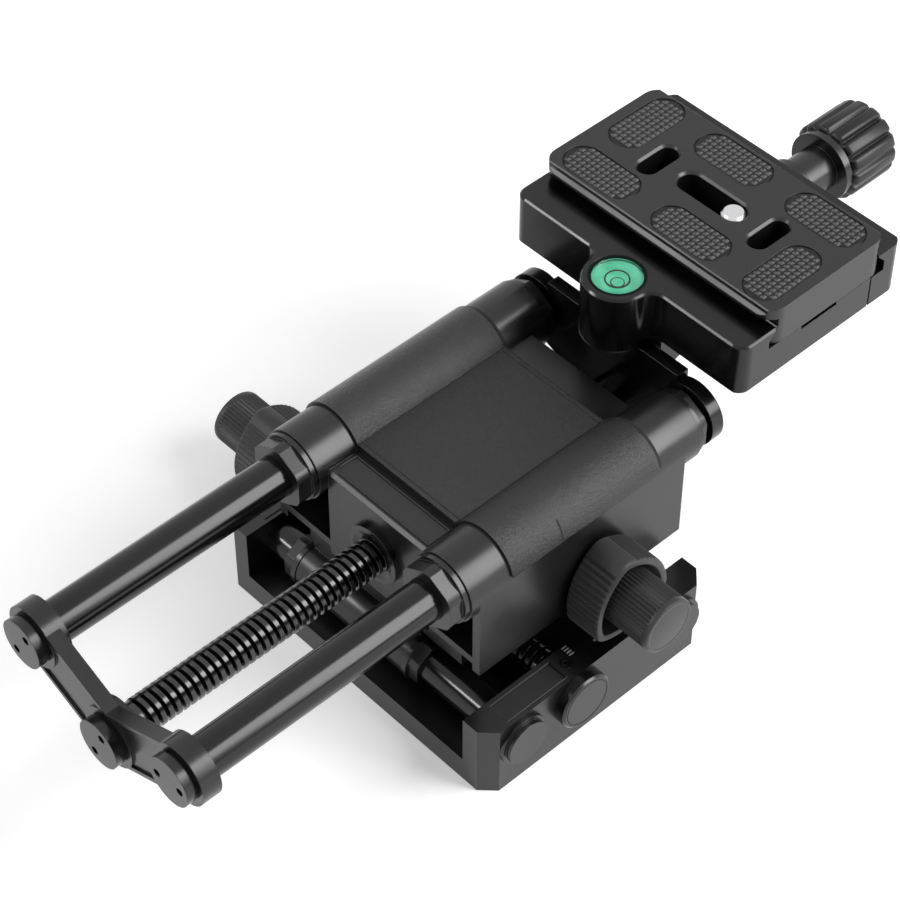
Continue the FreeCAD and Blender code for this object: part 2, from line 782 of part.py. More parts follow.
def saddle_bolt_holes():
    """Counterbored holes from below for the bolts that join the saddle to the casting."""
    holes = []
    for sx in (-1, 1):
        for sy in (-1, 1):
            x, y = sx * saddle_bolt_x / 2, sy * saddle_bolt_y
            holes.append(cyl(Z_AXIS, saddle_bolt_r + seat_gap, saddle_plate_bottom_z - 1,
                             body_bottom_z - saddle_plate_bottom_z + 2, x, y))
            holes.append(cyl(Z_AXIS, saddle_bolt_head_r + seat_gap, saddle_plate_bottom_z - 3,
                             3 + saddle_bolt_head, x, y))
    return holes


def saddle_bolts():
    """Four socket-head bolts."""
    solids = []
    for sx in (-1, 1):
        for sy in (-1, 1):
            x, y = sx * saddle_bolt_x / 2, sy * saddle_bolt_y
            head = cyl(Z_AXIS, saddle_bolt_head_r, saddle_plate_bottom_z, saddle_bolt_head, x, y)
            shank = cyl(Z_AXIS, saddle_bolt_r, saddle_plate_bottom_z, saddle_bolt_reach, x, y)
            key = cyl(Z_AXIS, saddle_bolt_r * key_share, saddle_plate_bottom_z - 1, 1 + saddle_bolt_head / 2,
                      x, y)
            solids.append(union([head, shank]).cut(key))
    return group(solids)


def cross_bushes():
    """Four plain bushes for the cross rods."""
    x0, x1 = sleeve_ends()
    return group([tube(X_AXIS, cross_bush_r, cross_rod_r + slip, x, cross_bush_len, s * cross_rod_y, cross_z)
                  for s in (-1, 1) for x in (x0, x1 - cross_bush_len)])


def cross_glands():
    """Hex glands on both ends of the cross sleeves."""
    x0, x1 = sleeve_ends()
    solids = []
    for s in (-1, 1):
        for x, out in ((x0, -1), (x1, 1)):
            solids.append(hex_gland(X_AXIS, x, cross_rod_r + slip, cross_gland_flange_r, cross_gland_flats,
                                    cross_gland_len, gland_flange_len, s * cross_rod_y, cross_z, out))
    return group(solids)


def cross_nut():
    """Bronze nut of the cross screw, pressed into the saddle."""
    return tube(X_AXIS, cross_nut_r, screw_r + slip, cross_nut_x - cross_nut_len / 2, cross_nut_len,
                screw_y, cross_z)


# ---------------------------------------------------------------- long drive pieces
def shaft_left_x():
    """Left end of the drive shaft, inside the centre block."""
    return shaft_end_wall - block_half_x + seat_gap


def shaft_bushes():
    """Bushes for the drive shaft either side of the worm rod; the right one spans the pocket."""
    mid = worm_r + worm_bore_gap + shaft_bush_gap
    left = tube(X_AXIS, shaft_bush_r, shaft_r + slip, shaft_left_x(), -mid - shaft_left_x(), drive_y, drive_z)
    right = tube(X_AXIS, shaft_bush_r, shaft_r + slip, mid, side_x + drive_boss_len - mid, drive_y, drive_z)
    return group([left, right])


def drive_shaft():
    """Shaft of the long drive, turned down under the worm rod."""
    neck = pinion_r - pinion_depth - pinion_hub_wall
    half = worm_r + worm_bore_gap
    _, small_in, _ = knob_stack(right_stack())
    profile = [(shaft_left_x(), 0), (shaft_left_x(), shaft_r), (-half, shaft_r), (-half, neck), (half, neck),
               (half, shaft_r), (small_in + small_knob_len / 2, shaft_r), (small_in + small_knob_len / 2, 0)]
    return turned(profile, X_AXIS, drive_y, drive_z)


def drive_pinion():
    """Leaf pinion on the shaft's neck; its teeth run in the worm rod's grooves."""
    neck = pinion_r - pinion_depth - pinion_hub_wall
    hub = cyl(X_AXIS, pinion_r - pinion_depth + pinion_hub_wall, -pinion_width / 2, pinion_width, drive_y,
              drive_z)
    leaves = []
    root, tip = pinion_r - pinion_depth, pinion_r + pinion_depth * pinion_tip_share
    for i in range(pinion_teeth):
        angle = math.radians(90 + mesh_phase() + 360 * i / pinion_teeth)
        out = V(0, math.cos(angle), math.sin(angle))
        side = V(0, -math.sin(angle), math.cos(angle))
        centre = V(-pinion_width / 2, drive_y, drive_z)
        low, high = side * (pinion_base / 2), side * (pinion_tip / 2)
        corners = [centre + out * root + low, centre + out * tip + high, centre + out * tip - high,
                   centre + out * root - low]
        wire = Part.makePolygon(corners + [corners[0]])
        leaves.append(Part.Face(wire).extrude(V(pinion_width, 0, 0)))
    bore = cyl(X_AXIS, neck + seat_gap, -pinion_width, 2 * pinion_width, drive_y, drive_z)
    return union([hub] + leaves).cut(bore)


def worm_start_y():
    """First ring tooth of the worm rod, just inside the yoke."""
    return yoke_rear_y + thread_runout


def mesh_phase():
    """Turn, in degrees, that puts a pinion leaf in the middle of the nearest groove."""
    groove_mid = worm_start_y() + thread_root / 2
    offset = (drive_y - groove_mid) % worm_pitch
    return math.degrees(offset / pinion_r)


def drive_knob():
    """Small ribbed knob of the long drive."""
    _, small_in, _ = knob_stack(right_stack())
    knob = small_knob(small_in, drive_y, drive_z)
    return knob.cut(cyl(X_AXIS, shaft_r + seat_gap, small_in - 1, small_knob_len / 2 + 1 + seat_gap, drive_y,
                        drive_z))


def drive_lock_knob():
    """Lock knob of the long drive, on the right."""
    return lock_knob(right_stack(), drive_y, drive_z, shaft_r + slip)


# ---------------------------------------------------------------- rail pieces
def long_rod(side):
    """Long ground rod, bored at the front for its cap and at the rear for its screw."""
    rod = cyl(Y_AXIS, rod_r, yoke_front_y, head_screw_seat_y - yoke_front_y, side * rod_half_gap, rod_z)
    return remove(rod, rod_bores(side * rod_half_gap, rod_z))


def rod_bores(x, z):
    """Blind bores in the two ends of a rod."""
    return [cyl(Y_AXIS, spigot_r + seat_gap, yoke_front_y - 1, spigot_len + 1 + spigot_end_gap, x, z),
            cyl(Y_AXIS, head_screw_r + seat_gap, head_screw_seat_y - head_screw_len, head_screw_len + 1, x,
                z)]


def worm_rod():
    """Worm rod between the yoke and the head, below the long rods."""
    start = worm_start_y()
    length = head_front_y - thread_runout - start
    rod = ringed_rod(Y_AXIS, start, length, worm_r, worm_root_r, worm_pitch, 0, worm_z, worm_r - worm_end_cut,
                     yoke_front_y, head_screw_seat_y)
    return remove(rod, rod_bores(0, worm_z))


def rod_places():
    """X and Z of the two long rods and the worm rod, with each one's end radius."""
    return [(-rod_half_gap, rod_z, rod_r), (0, worm_z, worm_r - worm_end_cut), (rod_half_gap, rod_z, rod_r)]


def band(p, q, half, y0, depth):
    """Straight arm between two points of the XZ plane."""
    length = math.hypot(q[0] - p[0], q[1] - p[1])
    nx, nz = -(q[1] - p[1]) / length * half, (q[0] - p[0]) / length * half
    corners = [(p[0] + nx, y0, p[1] + nz), (q[0] + nx, y0, q[1] + nz),
               (q[0] - nx, y0, q[1] - nz), (p[0] - nx, y0, p[1] - nz)]
    return prism(corners, V(0, depth, 0))


def end_yoke():
    """V-shaped bracket that joins the front ends of the three rods."""
    places = rod_places()
    bosses = [cyl(Y_AXIS, yoke_boss_r, yoke_front_y, yoke_thick, x, z) for x, z, _ in places]
    arms = []
    recesses = []
    mid = (places[1][0], places[1][1])
    for x, z, _ in (places[0], places[2]):
        arms.append(band((x, z), mid, yoke_arm_half, yoke_front_y, yoke_arm_thick))
        recesses.append(band((x, z), mid, yoke_arm_half - yoke_rim, yoke_front_y - 1, 1 + yoke_recess))
    yoke = union([remove(union(arms), recesses)] + bosses)
    return remove(yoke, [cyl(Y_AXIS, r + seat_gap, yoke_front_y - 1, yoke_thick + 2, x, z)
                         for x, z, r in places])


def rod_end_caps():
    """Disc caps with two pin holes, on a neck and a spigot in each rod's front end."""
    solids = []
    face = yoke_front_y - cap_neck_len - cap_thick
    for i, (x, z, _) in enumerate(rod_places()):
        cap = union([cyl(Y_AXIS, cap_r, face, cap_thick, x, z),
                     cyl(Y_AXIS, cap_neck_r, face, cap_thick + cap_neck_len, x, z),
                     cyl(Y_AXIS, spigot_r, face, cap_thick + cap_neck_len + spigot_len, x, z)])
        turn = math.radians(cap_turns[i])
        dx, dz = cap_hole_offset * math.cos(turn), cap_hole_offset * math.sin(turn)
        holes = [cyl(Y_AXIS, cap_hole_r, face - 1, cap_hole_depth + 1, x + s * dx, z + s * dz)
                 for s in (-1, 1)]
        solids.append(remove(cap, holes))
    return group(solids)


def head_bracket():
    """Rear bracket: holds the three rods and carries the clamp on a shelf."""
    y0, depth = head_front_y, head_thick
    places = rod_places()
    bosses = [cyl(Y_AXIS, head_mid_boss_r if x == 0 else head_boss_r, y0, depth, x, z) for x, z, _ in places]
    arms = [band((x, z), (0, worm_z), head_arm_half, y0, depth) for x, z, _ in (places[0], places[2])]
    wide, narrow = tower_half_x, head_mid_boss_r
    outline = [(-narrow, worm_z), (narrow, worm_z), (wide, shelf_low_z), (wide, head_top_z),
               (-wide, head_top_z), (-wide, shelf_low_z)]
    tower = prism([(x, y0, z) for x, z in outline], V(0, depth, 0))
    shelf = box(-shelf_half_x, shelf_half_x, head_rear_y, shelf_rear_y, shelf_low_z, shelf_top_z)
    ribs = []
    for s in (-1, 1):
        x = s * shelf_half_x * rib_share - rib_thick / 2
        ribs.append(prism([(x, head_rear_y, rod_z - rib_drop), (x, head_rear_y, shelf_low_z),
                           (x, rib_end_y, shelf_low_z)], V(rib_thick, 0, 0)))
    bracket = union(bosses + arms + [tower, shelf] + ribs)
    cuts = []
    for x, z, r in places:
        cuts.append(cyl(Y_AXIS, r + seat_gap, y0 - 1, head_screw_seat_y - y0 + 1, x, z))
        cuts.append(cyl(Y_AXIS, head_screw_head_r + seat_gap, head_screw_seat_y, head_screw_head, x, z))
    for s in (-1, 1):
        x = s * clamp_bolt_x
        cuts.append(cyl(Z_AXIS, clamp_bolt_r + seat_gap, shelf_low_z - 1, shelf_thick + 2, x, plate_mid_y))
        cuts.append(cyl(Z_AXIS, clamp_bolt_head_r + seat_gap, rod_z - rib_drop,
                        shelf_low_z + clamp_bolt_head - rod_z + rib_drop, x, plate_mid_y))
    return remove(bracket, cuts)


def head_screws():
    """Screws that draw the three rods into the head."""
    solids = []
    seat = head_screw_seat_y
    for x, z, _ in rod_places():
        head = cyl(Y_AXIS, head_screw_head_r, seat, head_screw_head, x, z)
        shank = cyl(Y_AXIS, head_screw_r, seat - head_screw_len + spigot_end_gap, head_screw_len, x, z)
        key = cyl(Y_AXIS, head_screw_r * key_share, seat + head_screw_head / 2, head_screw_head, x, z)
        solids.append(union([head, shank]).cut(key))
    return group(solids)


# ---------------------------------------------------------------- clamp pieces
def trough_profile(side, gap):
    """Inner outline of a jaw beside the plate, from the trough floor to the jaw's top."""
    out = plate_half_y + gap
    bevel_low = plate_bottom_z + dovetail_foot + gap / 2
    bevel_top = jaw_top_z - jaw_lip
    lip = out - (bevel_top - bevel_low)
    return [(plate_mid_y + side * out, clamp_floor_z), (plate_mid_y + side * out, bevel_low),
            (plate_mid_y + side * lip, bevel_top), (plate_mid_y + side * lip, jaw_top_z)]


def bulge():
    """Round bulge in the middle of the clamp's front, blended into it on both sides."""
    height = jaw_top_z - clamp_bottom_z
    reach = bulge_r + bulge_blend_r
    blend_y = clamp_front_y - bulge_blend_r
    blend_x = math.sqrt(reach ** 2 - (blend_y - bulge_y) ** 2)
    share = bulge_r / reach
    touch_x, touch_y = blend_x * share, bulge_y + (blend_y - bulge_y) * share
    web = prism([(-blend_x, clamp_front_y, clamp_bottom_z), (-touch_x, touch_y, clamp_bottom_z),
                 (touch_x, touch_y, clamp_bottom_z), (blend_x, clamp_front_y, clamp_bottom_z)],
                V(0, 0, height))
    web = remove(web, [cyl(Z_AXIS, bulge_blend_r, clamp_bottom_z - 1, height + 2, s * blend_x, blend_y)
                       for s in (-1, 1)])
    return union([web, cyl(Z_AXIS, bulge_r, clamp_bottom_z, height, 0, bulge_y)])


def clamp_body():
    """Clamp: long body with the fixed jaw, and the round bulge that carries the level."""
    profile = [(clamp_front_y, clamp_bottom_z + clamp_edge_cut),
               (clamp_front_y + clamp_edge_cut, clamp_bottom_z),
               (body_end_y, clamp_bottom_z), (body_end_y, clamp_floor_z)]
    profile += trough_profile(-1, jaw_side_gap) + [(clamp_front_y, jaw_top_z)]
    body = prism([(-clamp_half_x, y, z) for y, z in profile], V(2 * clamp_half_x, 0, 0))
    plan = rounded_slab(-clamp_half_x, clamp_half_x, clamp_front_y, body_end_y + 2 * clamp_round_r,
                        clamp_bottom_z - 1, jaw_top_z + 1, clamp_round_r)
    body = body.common(plan)
    foot = cyl(Z_AXIS, bulge_r, head_top_z, head_drop, 0, bulge_y)
    foot = foot.common(box(-bulge_r, bulge_r, bulge_y - bulge_r, head_rear_y, head_top_z, clamp_bottom_z))
    body = union([body, bulge(), foot])
    rim = [e for e in body.Edges if e.BoundBox.ZMin > jaw_top_z - 1e-6 and e.BoundBox.XLength < clamp_half_x]
    body = body.makeChamfer(clamp_top_cut, rim)
    bubble_floor = jaw_top_z - bubble_rim_depth - bubble_depth
    cuts = [cyl(Z_AXIS, bubble_rim_r + seat_gap, jaw_top_z - bubble_rim_depth, bubble_rim_depth + 1, 0,
                bulge_y),
            cyl(Z_AXIS, bubble_r + seat_gap, bubble_floor, bubble_depth + bubble_rim_depth + 1, 0, bulge_y),
            cyl(Y_AXIS, clamp_screw_r + slip, body_end_y - clamp_screw_reach, clamp_screw_reach + 1, 0,
                clamp_screw_z)]
    for s in (-1, 1):
        cuts.append(cyl(Z_AXIS, clamp_bolt_r + seat_gap, clamp_bottom_z - 1, clamp_bolt_reach + 1,
                        s * clamp_bolt_x, plate_mid_y))
        cuts.append(cyl(Y_AXIS, guide_pin_r + slip, body_end_y - guide_pin_len, guide_pin_len + 1,
                        s * guide_pin_x, clamp_screw_z))
        x = s * clamp_half_x
        y = plate_mid_y - stop_slot_shift
        cuts.append(box(x - stop_slot_depth, x + stop_slot_depth, y - stop_slot_len / 2,
                        y + stop_slot_len / 2, clamp_floor_z - stop_slot_height, clamp_floor_z + free_gap))
    return remove(body, cuts)


def moving_jaw():
    """Moving jaw, drawn to the plate by the clamp screw."""
    profile = trough_profile(1, jaw_side_gap)
    y_low = min(y for y, _ in profile)
    inner = [(jaw_front_y, clamp_bottom_z), (jaw_front_y, clamp_floor_z - free_gap),
             (profile[0][0], clamp_floor_z - free_gap)] + profile[1:]
    outline = inner + [(jaw_rear_y - clamp_top_cut, jaw_top_z), (jaw_rear_y, jaw_top_z - clamp_top_cut),
                       (jaw_rear_y, clamp_bottom_z + clamp_edge_cut),
                       (jaw_rear_y - clamp_edge_cut, clamp_bottom_z)]
    jaw = prism([(-clamp_half_x, y, z) for y, z in outline], V(2 * clamp_half_x, 0, 0))
    plan = rounded_slab(-clamp_half_x, clamp_half_x, y_low - 2 * clamp_round_r, jaw_rear_y,
                        clamp_bottom_z - 1, jaw_top_z + 1, clamp_round_r)
    jaw = jaw.common(plan)
    cuts = [cyl(Y_AXIS, clamp_screw_r + slip, jaw_front_y - 1, jaw_thick + 2, 0, clamp_screw_z)]
    cuts += [cyl(Y_AXIS, guide_pin_r + seat_gap, jaw_front_y - 1, jaw_thick / 2 + 1, s * guide_pin_x,
                 clamp_screw_z) for s in (-1, 1)]
    return remove(jaw, cuts)


def guide_pins():
    """Two pins fixed in the moving jaw that slide in the clamp body."""
    length = guide_pin_len + jaw_thick / 2 - guide_pin_spare
    return group([cyl(Y_AXIS, guide_pin_r, jaw_front_y + jaw_thick / 2 - length, length, s * guide_pin_x,
                      clamp_screw_z) for s in (-1, 1)])


def clamp_screw():
    """Threaded stud from the clamp knob, through the jaw, into the clamp body."""
    start = body_end_y - clamp_screw_reach + clamp_screw_spare
    end = jaw_rear_y + stem_len + knob_len * knob_bore_share
    return cyl(Y_AXIS, clamp_screw_r, start, end - start, 0, clamp_screw_z)


def clamp_stem():
    """Metal stem with a collar, between the jaw and the knob."""
    y, end = jaw_rear_y + thrust_gap, jaw_rear_y + stem_len
    lip = end - stem_lip_len
    profile = [(y, clamp_screw_r + seat_gap), (y, stem_ring_r), (y + stem_ring_len, stem_ring_r),
               (y + stem_ring_len, stem_r), (lip, stem_r), (lip, stem_lip_r), (end, stem_lip_r),
               (end, clamp_screw_r + seat_gap)]
    return turned(profile, Y_AXIS, 0, clamp_screw_z)


def clamp_knob():
    """Fluted clamp knob."""
    y = jaw_rear_y + stem_len + seat_gap
    knob = cyl(Y_AXIS, knob_r, y, knob_len, 0, clamp_screw_z)
    rims = [e for e in knob.Edges if e.BoundBox.YLength < 1e-6 and e.BoundBox.XLength > knob_r]
    knob = knob.makeChamfer(knob_edge_cut, rims)
    cuts = []
    for i in range(knob_flutes):
        a = 2 * math.pi * i / knob_flutes
        d = knob_r + flute_r - flute_depth
        cuts.append(cyl(Y_AXIS, flute_r, y + flute_start, knob_len, d * math.cos(a),
                        clamp_screw_z + d * math.sin(a)))
    cuts.append(cyl(Y_AXIS, clamp_screw_r + seat_gap, y - 1, knob_len * knob_bore_share + 1, 0,
                    clamp_screw_z))
    return remove(knob, cuts)


def clamp_bolts():
    """Two bolts up through the shelf into the clamp body."""
    solids = []
    low = shelf_low_z
    for s in (-1, 1):
        x = s * clamp_bolt_x
        head = cyl(Z_AXIS, clamp_bolt_head_r, low, clamp_bolt_head, x, plate_mid_y)
        length = shelf_thick + clamp_bolt_reach - spigot_end_gap
        shank = cyl(Z_AXIS, clamp_bolt_r, low, length, x, plate_mid_y)
        key = cyl(Z_AXIS, clamp_bolt_r * key_share, low - 1, 1 + clamp_bolt_head / 2, x, plate_mid_y)
        solids.append(union([head, shank]).cut(key))
    return group(solids)


def level_vial():
    """Round spirit level, a clear disc with a domed top."""
    z = jaw_top_z - bubble_rim_depth - bubble_depth
    return cyl(Z_AXIS, bubble_r, z, bubble_depth + bubble_rim_depth - bubble_drop, 0, bulge_y)


def level_ring():
    """Thin ring round the level."""
    return tube(Z_AXIS, bubble_rim_r, bubble_r + seat_gap, jaw_top_z - bubble_rim_depth, bubble_rim_depth, 0,
                bulge_y)


# ---------------------------------------------------------------- plate pieces
def quick_plate():
    """Dovetail camera plate with three slots and six pad seats."""
    m, h, g = plate_mid_y, plate_half_y, groove_depth
    z0, z1 = plate_bottom_z, plate_top_z
    cut, ledge_z = plate_edge_cut, z1 - plate_edge_cut - ledge_drop
    top, flange = h - ledge_cut / 2, h + ledge_cut / 2
    half = [(h, z0), (h, z0 + dovetail_foot), (h - g, z0 + dovetail_foot + g), (h - g, z1 - plate_flange),
            (flange, z1 - plate_flange), (flange, ledge_z - ledge_cut), (top, ledge_z), (top, z1 - cut),
            (top - cut, z1)]
    outline = [(m + y, z) for y, z in half] + [(m - y, z) for y, z in reversed(half)]
    plate = prism([(-plate_half_x, y, z) for y, z in outline], V(2 * plate_half_x, 0, 0))
    plan = rounded_slab(-plate_half_x, plate_half_x, m - flange, m + flange, z0 - 1, z1 + 1, plate_round_r)
    plate = plate.common(plan)
    cuts = [stadium(2 * centre_slot_half, centre_slot_width, z0 - 1, z1 + 1, 0, m),
            stadium(2 * centre_slot_half + slot_relief_width - centre_slot_width, slot_relief_width, z0 - 1,
                    z0 + slot_relief_depth, 0, m),
            slot_mouth(2 * centre_slot_half, centre_slot_width, slot_mouth_cut, z1, 0, m)]
    for s in (-1, 1):
        x = s * side_slot_x
        cuts.append(stadium(side_slot_len, side_slot_width, z0 - 1, z1 + 1, x, m, False))
        cuts.append(slot_mouth(side_slot_len, side_slot_width, slot_mouth_cut, z1, x, m, False))
    cuts += [pad_shape(x, y, along, seat_gap, z1 - pad_thick + pad_proud, z1 + 1)
             for x, y, along in pad_places()]
    cuts += [cyl(Z_AXIS, stop_screw_r + seat_gap, z0 - 1, stop_screw_len + 1, s * stop_screw_x, m)
             for s in (-1, 1)]
    return remove(plate, cuts)


def pad_places():
    """Centre and direction of each rubber pad; the layout is the same turned half round."""
    hx, hy, m = plate_half_x, plate_half_y, plate_mid_y
    long_y = pad_edge_margin + pad_width / 2 - hy
    half = [(pad_mid_shift, long_y, True), (pad_end_margin + pad_len / 2 - hx, long_y, True),
            (hx - pad_across_end_margin - pad_width / 2, pad_across_edge_margin + pad_len / 2 - hy, False)]
    return [(x, m + y, along) for x, y, along in half] + [(-x, m - y, along) for x, y, along in half]


def pad_shape(x, y, along, gap, z0, z1):
    """Pad outline with round ends."""
    return stadium(pad_len + 2 * gap, pad_width + 2 * gap, z0, z1, x, y, along)


def plate_pads():
    """Six rubber pads let into the plate's top."""
    z1 = plate_top_z + pad_proud
    return group([pad_shape(x, y, along, 0, z1 - pad_thick, z1) for x, y, along in pad_places()])


def plate_stop_screws():
    """Safety stop screws in the plate's underside."""
    return group([cyl(Z_AXIS, stop_screw_r, plate_bottom_z, stop_screw_len, s * stop_screw_x, plate_mid_y)
                  for s in (-1, 1)])


def stud_head_z():
    """Underside of the relief that the camera screw's head lies in."""
    return plate_bottom_z + slot_relief_depth


def camera_screw():
    """Camera screw: plain-tipped stud and a flat slotted head in the plate's relief."""
    top = plate_top_z - stud_sink
    low = stud_head_z() - clip_thick - stud_head_thick - 2 * seat_gap
    profile = [(low, 0), (low, stud_head_r), (low + stud_head_thick, stud_head_r),
               (low + stud_head_thick, stud_r),
               (top - stud_tip_cut, stud_r), (top, stud_r - stud_tip_cut), (top, 0)]
    screw = turned(profile, Z_AXIS, stud_x, plate_mid_y)
    slot = box(stud_x - stud_head_r - 1, stud_x + stud_head_r + 1, plate_mid_y - stud_slot_width / 2,
               plate_mid_y + stud_slot_width / 2, low - 1, low + stud_slot_depth)
    return screw.cut(slot)


def screw_clip():
    """Retaining washer that keeps the camera screw in its slot."""
    z = stud_head_z() - clip_thick - seat_gap
    return tube(Z_AXIS, clip_r, stud_r + slip, z, clip_thick, stud_x, plate_mid_y)


NODES = {
    "base_tray": base_tray, "left_wall": left_wall, "right_wall": right_wall, "tripod_bush": tripod_bush,
    "wall_strips": strips, "grub_screws": grub_screws,
    "front_cross_rod": lambda: cross_rod(-1), "rear_cross_rod": lambda: cross_rod(1),
    "cross_rod_caps": cross_rod_caps, "screw_bushes": screw_bushes, "screw_end_disc": screw_end_disc,
    "cross_screw": cross_screw, "cross_knob": cross_knob, "cross_lock_knob": cross_lock_knob,
    "carriage_body": carriage_body, "top_cover": top_cover, "long_bushes": long_bushes,
    "long_glands": long_glands, "worm_rings": worm_rings, "carriage_saddle": carriage_saddle,
    "saddle_bolts": saddle_bolts, "cross_bushes": cross_bushes, "cross_glands": cross_glands,
    "cross_nut": cross_nut, "shaft_bushes": shaft_bushes, "drive_shaft": drive_shaft,
    "drive_pinion": drive_pinion, "drive_knob": drive_knob, "drive_lock_knob": drive_lock_knob,
    "left_rod": lambda: long_rod(-1), "right_rod": lambda: long_rod(1), "worm_rod": worm_rod,
    "end_yoke": end_yoke, "rod_end_caps": rod_end_caps, "head_bracket": head_bracket,
    "head_screws": head_screws, "clamp_body": clamp_body, "clamp_bolts": clamp_bolts,
    "level_vial": level_vial, "level_ring": level_ring, "moving_jaw": moving_jaw, "guide_pins": guide_pins,
    "clamp_screw": clamp_screw, "clamp_stem": clamp_stem, "clamp_knob": clamp_knob,
    "quick_plate": quick_plate, "plate_pads": plate_pads, "plate_stop_screws": plate_stop_screws,
    "camera_screw": camera_screw, "screw_clip": screw_clip,
}


def main():
    """Build every node and write it as its own STEP file."""
    os.makedirs("parts", exist_ok=True)
    for name, make in NODES.items():
        shape = make()
        if not shape.isValid():
            raise ValueError(name + " is not a valid shape")
        shape.exportStep("parts/" + name + ".step")
        print(name, len(shape.Solids), round(shape.Volume, 1))


main()
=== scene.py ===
"""Looks of a two-axis macro focusing rail.

Every CAD node gets a node-based finish. The ribbed knobs, the threaded rods, the plate's rubber
pads and the spirit level are built here in mesh code and stand for their plain CAD nodes. Seams,
low rims, a circle and printed marks are thin trim that lies on the nodes.
Lengths of the rail are in millimetres of the CAD frame, and its meshes are written in metres.
Lengths of the studio are in metres.
"""

import json
import logging
import math
from collections.abc import Callable, Sequence
from dataclasses import dataclass, field
from enum import Enum

import bmesh
import bpy
from mathutils import Euler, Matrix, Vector

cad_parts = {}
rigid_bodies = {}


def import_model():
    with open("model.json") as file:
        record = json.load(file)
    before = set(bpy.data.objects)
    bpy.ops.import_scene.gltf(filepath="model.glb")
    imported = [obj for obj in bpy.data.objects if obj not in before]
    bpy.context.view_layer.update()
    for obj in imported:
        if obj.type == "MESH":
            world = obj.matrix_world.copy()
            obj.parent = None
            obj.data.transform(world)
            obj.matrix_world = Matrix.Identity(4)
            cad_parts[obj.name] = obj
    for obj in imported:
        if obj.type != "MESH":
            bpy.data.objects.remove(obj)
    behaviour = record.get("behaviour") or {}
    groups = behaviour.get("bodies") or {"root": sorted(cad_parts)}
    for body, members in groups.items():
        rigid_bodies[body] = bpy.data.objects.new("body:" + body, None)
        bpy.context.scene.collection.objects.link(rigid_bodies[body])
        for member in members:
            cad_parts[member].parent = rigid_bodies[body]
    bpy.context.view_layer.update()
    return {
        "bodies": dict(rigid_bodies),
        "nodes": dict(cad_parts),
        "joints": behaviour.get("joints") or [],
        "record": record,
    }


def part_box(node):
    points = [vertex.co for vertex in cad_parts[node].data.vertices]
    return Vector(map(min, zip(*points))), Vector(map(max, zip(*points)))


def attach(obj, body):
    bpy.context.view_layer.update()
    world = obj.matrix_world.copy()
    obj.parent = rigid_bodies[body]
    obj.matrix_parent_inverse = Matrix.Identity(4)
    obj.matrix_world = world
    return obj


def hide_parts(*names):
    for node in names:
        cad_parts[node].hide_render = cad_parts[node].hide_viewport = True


LOG = logging.getLogger("focusing_rail")
MM = 0.001
# Points of a mesh that lie closer than this, in metres, become one.
WELD_M = 1e-7
# Most of a noise texture's values lie between these two.
NOISE_LOW, NOISE_HIGH = 0.3, 0.7
# Rays that look for a nearby edge, in the normal that rounds the edges.
BEVEL_SAMPLES = 4
WHITE = (1.0, 1.0, 1.0, 1.0)

Point = tuple[float, float, float]
Flat = tuple[float, float]
Socket = bpy.types.NodeSocket


class Axis(Enum):
    """Axis that a piece is built along: its number, and the way it points."""

    RIGHT = (0, 1)
    LEFT = (0, -1)
    BACK = (1, 1)
    UP = (2, 1)

    def place(self, along: float, u: float, v: float, centre: Point) -> Point:
        """Put a point of a piece into the CAD frame.

        Args:
            along: Distance along the axis from the centre.
            u: Offset on the first axis across it.
            v: Offset on the second axis across it.
            centre: Where the piece's own zero lies.

        Returns:
            The point in millimetres.
        """
        index, sign = self.value
        x, y, z = centre
        if index == 0:
            return x + sign * along, y + u, z + v
        if index == 1:
            return x + v, y + sign * along, z + u
        return x + u, y + v, z + sign * along

    def around(self, along: float, radius: float, angle: float, centre: Point) -> Point:
        """Put a point at a radius and an angle about the axis into the CAD frame."""
        return self.place(along, radius * math.cos(angle), radius * math.sin(angle), centre)


class Body(Enum):
    """Moving bodies of the frame that pieces ride on."""

    BASE = "base"
    CROSS_DRIVE = "cross_drive"
    CROSS_LOCK = "cross_lock"
    CARRIAGE = "carriage"
    DRIVE = "drive"
    DRIVE_LOCK = "drive_lock"
    RAIL = "rail"
    CLAMP_DRIVE = "clamp_drive"
    PLATE = "plate"


@dataclass(frozen=True)
class Extent:
    """Box of one CAD node, in millimetres."""

    low: Point
    high: Point

    @classmethod
    def of(cls, node: str) -> "Extent":
        """Read a node's box from the frame.

        Args:
            node: The CAD node's name.

        Returns:
            Its box, to a ten-thousandth of a millimetre.
        """
        low, high = (tuple(round(c / MM, 4) for c in corner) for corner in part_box(node))
        return cls(low, high)

    @property
    def middle(self) -> Point:
        """Middle of the box."""
        return tuple((a + b) / 2 for a, b in zip(self.low, self.high))

    def start(self, axis: Axis) -> Point:
        """Give the middle of the face that an axis enters the box through.

        Args:
            axis: The axis.

        Returns:
            The point in millimetres.
        """
        index, sign = axis.value
        point = list(self.middle)
        point[index] = self.low[index] if sign > 0 else self.high[index]
        return tuple(point)


# ------------------------------------------------------------------ finishes


def feed(tree: bpy.types.NodeTree, target: bpy.types.Node, first: int, *sources: bpy.types.Node) -> None:
    """Link the first output of each source to a node's inputs, one after another.

    Args:
        tree: The node tree that all of them are in.
        target: The node that is fed.
        first: Number of its first input that is fed.
        *sources: The nodes that feed it.
    """
    for offset, source in enumerate(sources):
        tree.links.new(source.outputs[0], target.inputs[first + offset])


